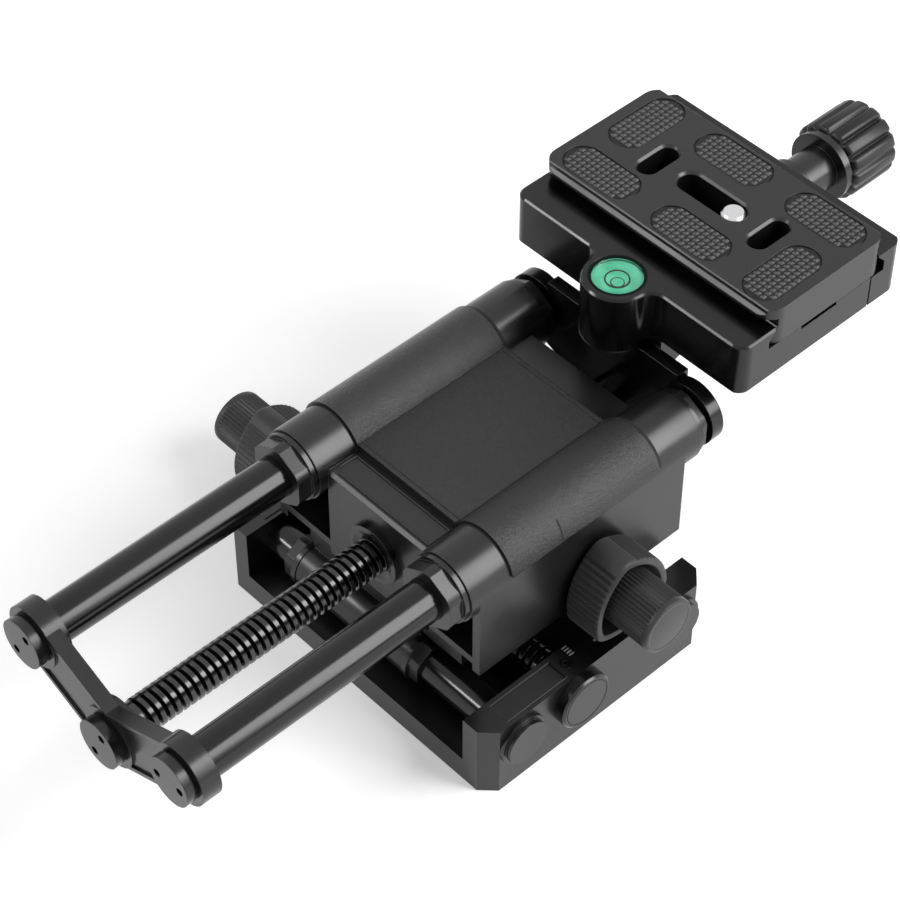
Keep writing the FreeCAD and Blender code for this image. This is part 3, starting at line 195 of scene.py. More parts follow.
class Graph:
    """Node tree of one material, with short calls for the nodes that the finishes share."""

    def __init__(self, name: str) -> None:
        """Start an empty material.

        Args:
            name: The material's name.
        """
        self.material = bpy.data.materials.new(name)
        self.material.use_nodes = True
        self.tree = self.material.node_tree
        self.tree.nodes.clear()
        self.output = self.tree.nodes.new("ShaderNodeOutputMaterial")

    def node(self, kind: str, **sockets: object) -> bpy.types.Node:
        """Add a node and set or link its inputs.

        Args:
            kind: Blender's node type.
            **sockets: Input name, with underscores for spaces, to a value or an output socket.

        Returns:
            The new node.
        """
        made = self.tree.nodes.new(kind)
        for key, value in sockets.items():
            socket = made.inputs[key.replace("_", " ")]
            if isinstance(value, Socket):
                self.tree.links.new(value, socket)
            else:
                socket.default_value = value
        return made

    def where(self) -> Socket:
        """Give the object's own coordinates."""
        return self.tree.nodes.new("ShaderNodeTexCoord").outputs["Object"]

    def stretched(self, scale: Point) -> Socket:
        """Give the object's coordinates scaled by a different amount on each axis."""
        return self.node("ShaderNodeMapping", Vector=self.where(), Scale=scale).outputs["Vector"]

    def noise(self, scale: float, detail: float, where: Socket | None = None) -> Socket:
        """Add a noise texture.

        Args:
            scale: Cells per metre.
            detail: Octaves.
            where: Coordinates, or None for the object's own.

        Returns:
            The noise value's socket.
        """
        made = self.node("ShaderNodeTexNoise", Vector=where or self.where(), Scale=scale, Detail=detail)
        return made.outputs["Fac"]

    def added(self, value: Socket, share: float, base: Socket) -> Socket:
        """Add a share of one texture to another.

        Args:
            value: The texture that is added.
            share: How much of it.
            base: The texture that it is added to.

        Returns:
            The sum's socket.
        """
        made = self.node("ShaderNodeMath")
        made.operation = "MULTIPLY_ADD"
        self.tree.links.new(value, made.inputs[0])
        made.inputs[1].default_value = share
        self.tree.links.new(base, made.inputs[2])
        return made.outputs["Value"]

    def spread(self, value: Socket, low: float, high: float) -> Socket:
        """Map the middle of a texture's span onto another span.

        Args:
            value: The texture.
            low: Lower end of the new span.
            high: Upper end of the new span.

        Returns:
            The mapped value's socket.
        """
        made = self.node(
            "ShaderNodeMapRange", Value=value, From_Min=NOISE_LOW, From_Max=NOISE_HIGH,
            To_Min=low, To_Max=high)
        return made.outputs["Result"]

    def tint(self, value: Socket, dark: Point, light: Point) -> Socket:
        """Blend two colours by a texture.

        Args:
            value: The texture.
            dark: Colour where it is low.
            light: Colour where it is high.

        Returns:
            The colour's socket.
        """
        ramp = self.node("ShaderNodeValToRGB", Fac=value)
        for stop, position, colour in zip(ramp.color_ramp.elements, (NOISE_LOW, NOISE_HIGH), (dark, light)):
            stop.position = position
            stop.color = (*colour, 1.0)
        return ramp.outputs["Color"]

    def rounded(self, radius_mm: float) -> Socket:
        """Give a normal that rounds the edges by that radius."""
        made = self.node("ShaderNodeBevel", Radius=radius_mm * MM)
        made.samples = BEVEL_SAMPLES
        return made.outputs["Normal"]

    def relief(self, height: Socket, depth_mm: float, under: Socket | None = None) -> Socket:
        """Raise a texture as relief.

        Args:
            height: The texture.
            depth_mm: Its full height.
            under: Normal that it stands on, or None for the mesh's own.

        Returns:
            The new normal.
        """
        made = self.node("ShaderNodeBump", Height=height, Distance=depth_mm * MM, Strength=1.0)
        if under is not None:
            self.tree.links.new(under, made.inputs["Normal"])
        return made.outputs["Normal"]

    def finish(self, shader: bpy.types.Node) -> bpy.types.Material:
        """Join the shader to the output and give the material."""
        feed(self.tree, self.output, 0, shader)
        return self.material

    def surface(self, **sockets: object) -> bpy.types.Material:
        """Finish the material with one surface shader that has those inputs."""
        return self.finish(self.node("ShaderNodeBsdfPrincipled", **sockets))


@dataclass(frozen=True)
class Finish:
    """Base of the finishes: the material's name and the record's slot it belongs to."""

    name: str
    slot: str

    def build(self) -> bpy.types.Material:
        """Make the material."""
        raise NotImplementedError


@dataclass(frozen=True)
class BlackMetal(Finish):
    """Black anodised or painted metal, bead-blasted, cast or turned, with rounded edges."""

    dark: Point = (0.0035, 0.0035, 0.0038)
    light: Point = (0.0065, 0.0065, 0.0068)
    clouds_per_m: float = 60.0
    rough: float = 0.30
    rough_spread: float = 0.04
    grain_per_mm: float = 6.0
    grain_mm: float = 0.010
    edge_mm: float = 0.25
    stretch: Point = (1.0, 1.0, 1.0)
    specular: float = 0.5

    def build(self) -> bpy.types.Material:
        """Make the black metal.

        Returns:
            The material.
        """
        g = Graph(self.name)
        clouds = g.noise(self.clouds_per_m, 3.0)
        grain = g.noise(self.grain_per_mm / MM, 4.0, g.stretched(self.stretch))
        return g.surface(
            Base_Color=g.tint(clouds, self.dark, self.light),
            Roughness=g.spread(clouds, self.rough - self.rough_spread, self.rough + self.rough_spread),
            Specular_IOR_Level=self.specular,
            Normal=g.relief(grain, self.grain_mm, g.rounded(self.edge_mm)),
        )


@dataclass(frozen=True)
class BareMetal(Finish):
    """Bare steel or bronze with fine machining lines."""

    colour: Point = (0.62, 0.62, 0.63)
    paler: float = 1.12
    lines_per_m: float = 2500.0
    line_mm: float = 0.004
    edge_mm: float = 0.12
    rough: float = 0.22
    smoother: float = 0.04
    rougher: float = 0.06
    stretch: Point = (1.0, 1.0, 1.0)

    def build(self) -> bpy.types.Material:
        """Make the bare metal.

        Returns:
            The material.
        """
        g = Graph(self.name)
        lines = g.noise(self.lines_per_m, 3.0, g.stretched(self.stretch))
        light = tuple(min(1.0, c * self.paler) for c in self.colour)
        return g.surface(
            Base_Color=g.tint(lines, self.colour, light),
            Metallic=1.0,
            Roughness=g.spread(lines, self.rough - self.smoother, self.rough + self.rougher),
            Normal=g.relief(lines, self.line_mm, g.rounded(self.edge_mm)),
        )


@dataclass(frozen=True)
class Moulded(Finish):
    """Moulded rubber or plastic with a matt skin."""

    dark: Point = (0.008, 0.008, 0.0084)
    light: Point = (0.014, 0.014, 0.0144)
    dust_per_m: float = 140.0
    rough: float = 0.52
    smoother: float = 0.06
    rougher: float = 0.08
    grain_per_mm: float = 5.0
    grain_mm: float = 0.012
    edge_mm: float = 0.2
    sheen: float = 0.15
    sheen_rough: float = 0.5
    specular: float = 0.5

    def build(self) -> bpy.types.Material:
        """Make the moulded skin.

        Returns:
            The material.
        """
        g = Graph(self.name)
        skin = g.noise(self.grain_per_mm / MM, 5.0)
        dust = g.noise(self.dust_per_m, 4.0)
        return g.surface(
            Base_Color=g.tint(dust, self.dark, self.light),
            Roughness=g.spread(skin, self.rough - self.smoother, self.rough + self.rougher),
            Sheen_Weight=self.sheen,
            Sheen_Roughness=self.sheen_rough,
            Specular_IOR_Level=self.specular,
            Normal=g.relief(skin, self.grain_mm, g.rounded(self.edge_mm)),
        )


@dataclass(frozen=True)
class GrainedShell(Finish):
    """Black shell with a sand-like grain, as on a camera grip."""

    dark: Point = (0.004, 0.004, 0.0042)
    light: Point = (0.010, 0.010, 0.0104)
    rough: float = 0.22
    smoother: float = 0.05
    rougher: float = 0.08
    grain_per_mm: float = 2.6
    fine_per_mm: float = 9.0
    fine_share: float = 0.5
    grain_mm: float = 0.18
    edge_mm: float = 0.3

    def build(self) -> bpy.types.Material:
        """Make the grained shell.

        Returns:
            The material.
        """
        g = Graph(self.name)
        coarse = g.noise(self.grain_per_mm / MM, 1.0)
        fine = g.noise(self.fine_per_mm / MM, 3.0)
        height = g.added(fine, self.fine_share, coarse)
        return g.surface(
            Base_Color=g.tint(fine, self.dark, self.light),
            Roughness=g.spread(fine, self.rough - self.smoother, self.rough + self.rougher),
            Normal=g.relief(height, self.grain_mm, g.rounded(self.edge_mm)),
        )


@dataclass(frozen=True)
class LevelLiquid(Finish):
    """Green spirit in the level, with a clear coat over a soft ripple."""

    dark: Point = (0.030, 0.46, 0.25)
    light: Point = (0.10, 0.68, 0.44)
    ripples_per_m: float = 220.0
    ripple_mm: float = 0.02
    rough: Flat = (0.08, 0.16)
    coat: float = 0.6
    coat_rough: float = 0.04

    def build(self) -> bpy.types.Material:
        """Make the green liquid.

        Returns:
            The material.
        """
        g = Graph(self.name)
        ripple = g.noise(self.ripples_per_m, 2.0)
        return g.surface(
            Base_Color=g.tint(ripple, self.dark, self.light),
            Roughness=g.spread(ripple, *self.rough),
            Coat_Weight=self.coat,
            Coat_Roughness=self.coat_rough,
            Normal=g.relief(ripple, self.ripple_mm),
        )


@dataclass(frozen=True)
class ClearLens(Finish):
    """Clear domed lens over the level."""

    colour: Point = (0.86, 0.97, 0.93)
    swirls_per_m: float = 300.0
    rough: Flat = (0.01, 0.03)
    refraction: float = 1.3

    def build(self) -> bpy.types.Material:
        """Make the clear lens.

        Returns:
            The material.
        """
        g = Graph(self.name)
        swirl = g.noise(self.swirls_per_m, 1.0)
        return g.surface(
            Base_Color=(*self.colour, 1.0),
            Roughness=g.spread(swirl, *self.rough),
            IOR=self.refraction,
            Transmission_Weight=1.0,
        )


@dataclass(frozen=True)
class PrintedMark(Finish):
    """Thin printed paint, a little worn."""

    colour: Point = (0.55, 0.55, 0.55)
    worn_share: float = 0.6
    wear_per_m: float = 2200.0
    wear_mm: float = 0.005
    rough: Flat = (0.5, 0.7)

    def build(self) -> bpy.types.Material:
        """Make the paint.

        Returns:
            The material.
        """
        g = Graph(self.name)
        wear = g.noise(self.wear_per_m, 3.0)
        worn = tuple(c * self.worn_share for c in self.colour)
        return g.surface(
            Base_Color=g.tint(wear, worn, self.colour),
            Roughness=g.spread(wear, *self.rough),
            Normal=g.relief(wear, self.wear_mm),
        )


@dataclass
class Finishes:
    """All finishes of the rail, made once and shared."""

    made: dict[str, bpy.types.Material] = field(default_factory=dict)
    casting: Finish = BlackMetal("casting_satin_black", "casting_black", grain_mm=0.006)
    tray: Finish = BlackMetal("tray_satin_black", "casting_black", grain_mm=0.006, edge_mm=0.0)
    rod: Finish = BlackMetal(
        "rod_gloss_black", "rod_black", dark=(0.002, 0.002, 0.002), light=(0.004, 0.004, 0.004),
        rough=0.16, rough_spread=0.02, grain_mm=0.001, edge_mm=0.3, stretch=(1.0, 0.03, 1.0), specular=0.4)
    thread: Finish = BlackMetal(
        "thread_gloss_black", "screw_black", dark=(0.003, 0.003, 0.003), light=(0.005, 0.005, 0.005),
        rough=0.2, grain_mm=0.002, edge_mm=0.12, specular=0.7)
    cap: Finish = BlackMetal("cap_turned_black", "cap_black", rough=0.24, grain_mm=0.004)
    clamp: Finish = BlackMetal(
        "clamp_gloss_black", "clamp_black", dark=(0.002, 0.002, 0.002), light=(0.004, 0.004, 0.004),
        rough=0.2, grain_mm=0.002, edge_mm=0.35, specular=0.35)
    plate: Finish = BlackMetal(
        "plate_satin_black", "plate_black", dark=(0.004, 0.004, 0.0042), light=(0.007, 0.007, 0.0072),
        grain_mm=0.006, edge_mm=0.3)
    steel: Finish = BareMetal("bright_steel", "bare_steel")
    bronze: Finish = BareMetal("sintered_bronze", "bush_bronze", colour=(0.50, 0.34, 0.17), rough=0.4)
    knob_rubber: Finish = Moulded("knob_ribbed_rubber", "knob_rubber")
    knob_plastic: Finish = Moulded(
        "knob_matt_plastic", "knob_plastic", dark=(0.007, 0.007, 0.0074), light=(0.012, 0.012, 0.0124),
        rough=0.48)
    grip_rubber: Finish = Moulded(
        "clamp_knob_rubber", "knob_rubber", dark=(0.004, 0.004, 0.0042), light=(0.008, 0.008, 0.0084),
        rough=0.34, grain_mm=0.004, edge_mm=0.3, sheen=0.0, specular=0.38)
    pad_rubber: Finish = Moulded(
        "pad_diamond_rubber", "pad_rubber", dark=(0.003, 0.003, 0.0031), light=(0.006, 0.006, 0.0062),
        rough=0.34, grain_mm=0.004, edge_mm=0.06, sheen=0.0, specular=0.30)
    cover: Finish = GrainedShell("cover_grained_shell", "cover_plastic")
    liquid: Finish = LevelLiquid("level_green_spirit", "level_liquid")
    lens: Finish = ClearLens("level_clear_lens", "level_liquid")
    ring: Finish = BlackMetal(
        "level_ring_black", "level_ring_black", dark=(0.001, 0.006, 0.004), light=(0.002, 0.010, 0.007),
        grain_mm=0.003, edge_mm=0.15, specular=0.08)
    seam: Finish = Moulded(
        "seam_dark_rubber", "cover_plastic", dark=(0.001, 0.001, 0.001), light=(0.002, 0.002, 0.002),
        rough=0.8, grain_mm=0.002, edge_mm=0.0, sheen=0.0)
    mark: Finish = PrintedMark("printed_mark", "bare_steel")

    def get(self, finish: Finish) -> bpy.types.Material:
        """Give a finish's material, made at its first use.

        Args:
            finish: One of the finishes.

        Returns:
            Its material.
        """
        if finish.name not in self.made:
            self.made[finish.name] = finish.build()
        return self.made[finish.name]


Builder = Callable[[Finishes], object]


# ------------------------------------------------------------------ mesh building


class Shell:
    """Points and faces of one piece, gathered ring by ring in millimetres of the CAD frame."""

    def __init__(self) -> None:
        """Start with no points."""
        self.points: list[Point] = []
        self.faces: list[tuple[int, ...]] = []

    def ring(self, points: Sequence[Point]) -> list[int]:
        """Add a ring of points.

        Args:
            points: The points in order.

        Returns:
            Their numbers.
        """
        start = len(self.points)
        self.points.extend(points)
        return list(range(start, start + len(points)))

    def bridge(self, a: Sequence[int], b: Sequence[int], closed: bool = True) -> None:
        """Join two rings of the same length with four-cornered faces.

        Args:
            a: First ring.
            b: Second ring.
            closed: Whether the rings close on themselves.
        """
        count = len(a) if closed else len(a) - 1
        for i in range(count):
            j = (i + 1) % len(a)
            self.faces.append((a[i], a[j], b[j], b[i]))

    def fan(self, ring: Sequence[int], centre: Point) -> None:
        """Close a ring with faces to a centre point.

        Args:
            ring: The ring's point numbers.
            centre: The centre point.
        """
        middle = self.ring([centre])[0]
        for i in range(len(ring)):
            self.faces.append((ring[i], ring[(i + 1) % len(ring)], middle))

    def lid(self, ring: Sequence[int]) -> None:
        """Close a flat ring with one face."""
        self.faces.append(tuple(ring))

    def stack(
        self, rings: Sequence[Sequence[Point]], loop: bool = False, closed: bool = True
    ) -> list[list[int]]:
        """Add rings one after another and join each to the next.

        Args:
            rings: The rings' points, all of the same length.
            loop: Whether the last ring joins the first again.
            closed: Whether each ring closes on itself.

        Returns:
            The rings' point numbers.
        """
        made = [self.ring(r) for r in rings]
        for a, b in zip(made, made[1:]):
            self.bridge(a, b, closed)
        if loop:
            self.bridge(made[-1], made[0], closed)
        return made

    def piece(
        self, name: str, body: Body, finish: Finish, finishes: Finishes, stands_for: Sequence[str] = (),
        sharp_deg: float = 32.0,
    ) -> bpy.types.Object:
        """Turn the shell into a finished object that rides on its body.

        Args:
            name: The piece's name.
            body: The body that it moves with.
            finish: Its finish.
            finishes: The shared materials.
            stands_for: CAD nodes that it is shown in place of.
            sharp_deg: Edges bent by more than this stay sharp.

        Returns:
            The new object.
        """
        mesh = bpy.data.meshes.new(name)
        mesh.from_pydata([tuple(c * MM for c in p) for p in self.points], [], self.faces)
        work = bmesh.new()
        work.from_mesh(mesh)
        bmesh.ops.remove_doubles(work, verts=work.verts, dist=WELD_M)
        bmesh.ops.dissolve_degenerate(work, edges=work.edges, dist=WELD_M)
        bmesh.ops.recalc_face_normals(work, faces=work.faces)
        work.to_mesh(mesh)
        work.free()
        mesh.polygons.foreach_set("use_smooth", [True] * len(mesh.polygons))
        mesh.set_sharp_from_angle(angle=math.radians(sharp_deg))
        mesh.materials.append(finishes.get(finish))
        made = bpy.data.objects.new(name, mesh)
        bpy.context.scene.collection.objects.link(made)
        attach(made, body.value)
        if stands_for:
            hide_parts(*stands_for)
        return made


@dataclass(frozen=True)
class Station:
    """One ring of a turned piece: its place along the axis, its radius and its share of the ribs."""

    along: float
    radius: float
    ribs: float = 0.0


@dataclass(frozen=True)
class TurnedRibs:
    """Ribs or flutes cut round a turned piece.

    Attributes:
        count: How many ribs.
        depth: How deep the grooves between them are.
        samples: Points per rib.
        sharpness: Above 1, the grooves are narrow and the ribs wide.
    """

    count: int
    depth: float
    samples: int
    sharpness: float = 1.0

    @classmethod
    def none(cls, points: int) -> "TurnedRibs":
        """Give a plain round piece with that many points in a ring."""
        return cls(count=1, depth=0.0, samples=points)

    @property
    def points(self) -> int:
        """Points in one ring."""
        return self.count * self.samples

    def cut(self, index: int) -> float:
        """Give the depth of the grooves at a point of the ring."""
        wave = 0.5 + 0.5 * math.cos(math.tau * index / self.samples)
        return self.depth * wave**self.sharpness


def turned(axis: Axis, centre: Point, stations: Sequence[Station], ribs: TurnedRibs, shell: Shell) -> None:
    """Add a turned shell, closed at both ends.

    Args:
        axis: The axis that it is turned about.
        centre: Where its own zero lies.
        stations: Its rings, from one end to the other.
        ribs: The ribs round it.
        shell: The shell that it is added to.
    """
    count = ribs.points
    rings = []
    for s in stations:
        radii = [s.radius - s.ribs * ribs.cut(i) for i in range(count)]
        rings.append([axis.around(s.along, r, math.tau * i / count, centre) for i, r in enumerate(radii)])
    made = shell.stack(rings)
    for ring, station in ((made[0], stations[0]), (made[-1], stations[-1])):
        shell.fan(ring, axis.place(station.along, 0.0, 0.0, centre))


def thin_ring(axis: Axis, centre: Point, radius: float, thick: float, shell: Shell) -> None:
    """Add one thin round ring.

    Args:
        axis: The axis that it lies round.
        centre: Its middle.
        radius: Radius of its own middle line.
        thick: Its thickness.
        shell: The shell that it is added to.
    """
    sides, count = 8, 48
    rings = []
    for side in range(sides):
        turn = math.tau * side / sides
        along, reach = thick / 2 * math.sin(turn), radius + thick / 2 * math.cos(turn)
        rings.append([axis.around(along, reach, math.tau * i / count, centre) for i in range(count)])
    shell.stack(rings, loop=True)


def flat_bar(x_span: Flat, y_span: Flat, z_span: Flat, shell: Shell) -> None:
    """Add one closed bar, square to the axes.

    Args:
        x_span: Where it starts and ends along X.
        y_span: Where it starts and ends along Y.
        z_span: Where it starts and ends along Z.
        shell: The shell that it is added to.
    """
    (x0, x1), (y0, y1) = x_span, y_span
    outline = [(x0, y0), (x1, y0), (x1, y1), (x0, y1)]
    for ring in shell.stack([[(x, y, z) for x, y in outline] for z in z_span]):
        shell.lid(ring)


# ------------------------------------------------------------------ threads and knobs


@dataclass
class ThreadedRod:
    """Rod with one helical thread between plain ends.

    Attributes:
        name: The piece's name.
        node: CAD node that it stands for.
        body: Body that it moves with.
        axis: The way that it points.
        round_node: Node with the same axis, whose box is centred on it.
        plain: Length of the plain part of the node at its start and at its end.
        short: How far the piece stops inside the node at its start and at its end.
        plain_r: Radius of the plain ends.
        outer_r: Radius over the thread.
        root_r: Radius in the thread's groove.
        pitch: Length of one turn.
        segments: Points in one turn.
        edge: Width of the bevels on the plain ends.
        turn_profile: One turn of the thread, as shares of the pitch and of the thread's height.
    """

    name: str
    node: str
    body: Body
    axis: Axis
    round_node: str
    plain: Flat
    short: Flat
    plain_r: float
    outer_r: float
    root_r: float
    pitch: float = 2.0
    segments: int = 40
    edge: float = 0.3
    turn_profile: tuple[Flat, ...] = (
        (0.0, 0.0), (0.16, 0.0), (0.28, 0.84), (0.34, 1.0), (0.86, 1.0), (0.92, 0.84))

    def __post_init__(self) -> None:
        """Read the axis and the ends from the frame."""
        index = self.axis.value[0]
        centre = list(Extent.of(self.round_node).middle)
        centre[index] = 0.0
        self.centre: Point = tuple(centre)
        extent = Extent.of(self.node)
        self.ends: Flat = (extent.low[index], extent.high[index])
        self.thread_ends: Flat = (self.ends[0] + self.plain[0], self.ends[1] - self.plain[1])

    def height(self, along: float) -> float:
        """Give the share of the full thread height, which fades out over the last turn at each end.

        Args:
            along: Place on the axis.

        Returns:
            The share, from 0 to 1.
        """
        start, end = self.thread_ends
        run_out = min(along - start, end - along) / self.pitch
        return max(0.0, min(1.0, run_out))

    def thread(self, shell: Shell) -> None:
        """Add the helical skin and close its two ends.

        Args:
            shell: The shell that it is added to, still empty.
        """
        width, n = len(self.turn_profile), self.segments
        start, end = self.thread_ends
        turns = round((end - start) / self.pitch)
        last = turns * n
        for p in range(last + 1):
            row = []
            for share, lift in self.turn_profile:
                along = start + self.pitch * (p / n + share)
                radius = self.root_r + (self.outer_r - self.root_r) * lift * self.height(along)
                row.append(self.axis.around(along, radius, math.tau * p / n, self.centre))
            shell.ring(row)
        for p in range(last):
            near, far = p * width, (p + 1) * width
            for k in range(width - 1):
                shell.faces.append((near + k, near + k + 1, far + k + 1, far + k))
            if p + 1 + n <= last:
                shell.faces.append((far - 1, (p + n) * width, (p + 1 + n) * width, far + width - 1))
        first_cap = [p * width for p in range(n + 1)] + [width - 1 - k for k in range(width - 1)]
        last_cap = [last * width + k for k in range(width)]
        last_cap += [p * width + width - 1 for p in range(last - 1, last - n - 1, -1)]
        shell.fan(first_cap, self.axis.place(start, 0.0, 0.0, self.centre))
        shell.fan(last_cap, self.axis.place(start + self.pitch * (turns + 1), 0.0, 0.0, self.centre))

    def plain_end(self, low: float, high: float, shell: Shell) -> None:
        """Add one plain end.

        Args:
            low: Where it starts on the axis.
            high: Where it ends on the axis.
            shell: The shell that it is added to.
        """
        r, e = self.plain_r, self.edge
        stations = [Station(low, r - e), Station(low + e, r), Station(high - e, r), Station(high, r - e)]
        turned(self.axis, self.centre, stations, TurnedRibs.none(self.segments), shell)

    def build(self, finishes: Finishes) -> bpy.types.Object:
        """Build the whole rod.

        Args:
            finishes: The shared materials.

        Returns:
            The new object.
        """
        shell = Shell()
        self.thread(shell)
        start, end = self.thread_ends
        self.plain_end(self.ends[0] + self.short[0], start + self.pitch, shell)
        self.plain_end(end - self.pitch, self.ends[1] - self.short[1], shell)
        return shell.piece(self.name, self.body, finishes.thread, finishes, [self.node], sharp_deg=28.0)


@dataclass
class SmallKnob:
    """Small round knob with fine ribs round it and a plain band at its face.

    Attributes:
        name: The piece's name.
        node: CAD node that it stands for.
        body: Body that it moves with.
        axis: The way that it points, away from the rail.
        radius: Radius over the ribs.
        length: Length along the axis.
        ribs: The ribs round it.
    """

    name: str
    node: str
    body: Body
    axis: Axis
    radius: float = 7.0
    length: float = 14.0
    ribs: TurnedRibs = TurnedRibs(count=44, depth=0.45, samples=6)

    def profile(self) -> list[Station]:
        """Give the rings: a rounded inner edge, the ribs, the plain band and a dished face."""
        r, n = self.radius, self.length
        return [
            Station(0.0, r - 0.9), Station(0.15, r - 0.55), Station(0.5, r - 0.1, 0.6), Station(0.9, r, 1.0),
            Station(n - 2.0, r, 1.0), Station(n - 1.5, r, 0.15), Station(n - 1.3, r), Station(n - 0.6, r),
            Station(n - 0.25, r - 0.12), Station(n - 0.06, r - 0.42), Station(n - 0.02, r - 0.8),
            Station(n - 0.10, r - 1.1), Station(n - 0.12, r - 1.4), Station(n - 0.05, r - 1.7)]

    def build(self, finishes: Finishes) -> bpy.types.Object:
        """Build the knob.

        Args:
            finishes: The shared materials.

        Returns:
            The new object.
        """
        shell = Shell()
        turned(self.axis, Extent.of(self.node).start(self.axis), self.profile(), self.ribs, shell)
        return shell.piece(self.name, self.body, finishes.knob_plastic, finishes, [self.node])


@dataclass
class LockKnob:
    """Three-cornered lock knob: smooth corners, ribbed flanks, a hollow face and a hub.

    Attributes:
        name: The piece's name.
        node: CAD node that it stands for.
        body: Body that it moves with.
        axis: The way that it points, away from the rail.
        small_node: Small knob in front of it, on the same axis.
        bore_r: Radius of the bore.
        corner_r: Distance from the axis to the tip of a corner.
        flank_r: Distance from the axis to the middle of a flank.
        round_r: Radius of a corner.
        length: Length along the axis.
        wall: Thickness of the wall round the hollow.
        recess: Depth of the hollow.
        hub_wall: Thickness of the hub round the bore.
        hub_top: How far out the hub reaches.
        first_corner_deg: Angle of the first corner.
        corner_points: Points round a corner.
        flank_ribs: Ribs that a flank is divided into.
        rib_points: Points in one rib.
        rib_depth: Depth of the grooves.
        smooth_ribs: Ribs left out at each end of a flank.
    """

    name: str
    node: str
    body: Body
    axis: Axis
    small_node: str
    bore_r: float
    corner_r: float = 12.1
    flank_r: float = 10.2
    round_r: float = 4.0
    length: float = 9.8
    wall: float = 1.9
    recess: float = 7.0
    hub_wall: float = 1.8
    hub_top: float = 6.8
    first_corner_deg: float = 100.0
    corner_points: int = 16
    flank_ribs: int = 13
    rib_points: int = 5
    rib_depth: float = 0.5
    smooth_ribs: int = 1

    def __post_init__(self) -> None:
        """Read the inner face from the frame, and the axis from the small knob."""
        inner_x = Extent.of(self.node).start(self.axis)[0]
        _, y, z = Extent.of(self.small_node).middle
        self.centre: Point = (inner_x, y, z)

    def outline(self, inset: float, ribs: float) -> list[Flat]:
        """Give the three-cornered outline.

        Args:
            inset: How far inside the full outline.
            ribs: Share of the rib depth.

        Returns:
            The points in order, from the first corner.
        """
        third, sixth = math.tau / 3, math.tau / 6
        round_r = self.round_r - inset
        corner_d = self.corner_r - self.round_r
        flank_in = self.flank_r - self.round_r
        flank_f = (corner_d**2 - flank_in**2) / (2 * flank_in - corner_d)
        flank_arc = self.flank_r + flank_f - inset
        points: list[Flat] = []
        for i in range(3):
            corner = math.radians(self.first_corner_deg) + third * i
            mid = corner + sixth
            cu, cv = corner_d * math.cos(corner), corner_d * math.sin(corner)
            fu, fv = -flank_f * math.cos(mid), -flank_f * math.sin(mid)
            meet = math.atan2(cv - fv, cu - fu)
            half = abs((mid - meet + math.pi) % math.tau - math.pi)
            spread = sixth - half
            for k in range(self.corner_points):
                angle = corner - spread + 2 * spread * k / self.corner_points
                points.append((cu + round_r * math.cos(angle), cv + round_r * math.sin(angle)))
            steps = self.flank_ribs * self.rib_points
            for k in range(steps):
                angle = mid - half + 2 * half * k / steps
                ribbed = self.smooth_ribs <= k // self.rib_points < self.flank_ribs - self.smooth_ribs
                groove = 0.5 - 0.5 * math.cos(math.tau * k / self.rib_points)
                radius = flank_arc - (self.rib_depth * ribs * groove if ribbed else 0.0)
                points.append((fu + radius * math.cos(angle), fv + radius * math.sin(angle)))
        return points

    def hub_circle(self, radius: float) -> list[Flat]:
        """Give a circle whose points lie on the same rays as the outline's."""
        shares = [(u, v, radius / math.hypot(u, v)) for u, v in self.outline(0.0, 0.0)]
        return [(u * share, v * share) for u, v, share in shares]

    def rings(self) -> list[tuple[list[Flat], float]]:
        """Give the knob's rings, from the bore over the outside and back through the hollow face.

        Returns:
            Each ring's outline and its distance out from the inner face.
        """
        n, w, floor = self.length, self.wall, self.length - self.recess
        hub_r = self.bore_r + self.hub_wall
        outside = [
            (0.9, 0.0, 0.0), (0.35, 0.3, 0.15), (0.06, 0.8, 0.5), (0.0, 1.0, 0.9), (0.0, 1.0, n - 0.9),
            (0.06, 0.5, n - 0.45), (0.3, 0.0, n - 0.12), (0.6, 0.0, n)]
        hollow = [(w - 0.5, n), (w - 0.12, n - 0.15), (w, n - 0.5), (w, floor + 0.5), (w + 0.4, floor)]
        hub = [
            (hub_r + 0.4, floor), (hub_r, floor + 0.4), (hub_r, self.hub_top - 0.2),
            (hub_r - 0.2, self.hub_top), (self.bore_r, self.hub_top)]
        rings = [(self.hub_circle(self.bore_r), 0.0)]
        rings += [(self.outline(inset, ribs), along) for inset, ribs, along in outside]
        rings += [(self.outline(inset, 0.0), along) for inset, along in hollow]
        rings += [(self.hub_circle(radius), along) for radius, along in hub]
        return rings

    def build(self, finishes: Finishes) -> bpy.types.Object:
        """Build the knob.

        Args:
            finishes: The shared materials.

        Returns:
            The new object.
        """
        shell = Shell()
        place, centre = self.axis.place, self.centre
        rings = [[place(along, u, v, centre) for u, v in flat] for flat, along in self.rings()]
        shell.stack(rings, loop=True)
        return shell.piece(self.name, self.body, finishes.knob_rubber, finishes, [self.node])


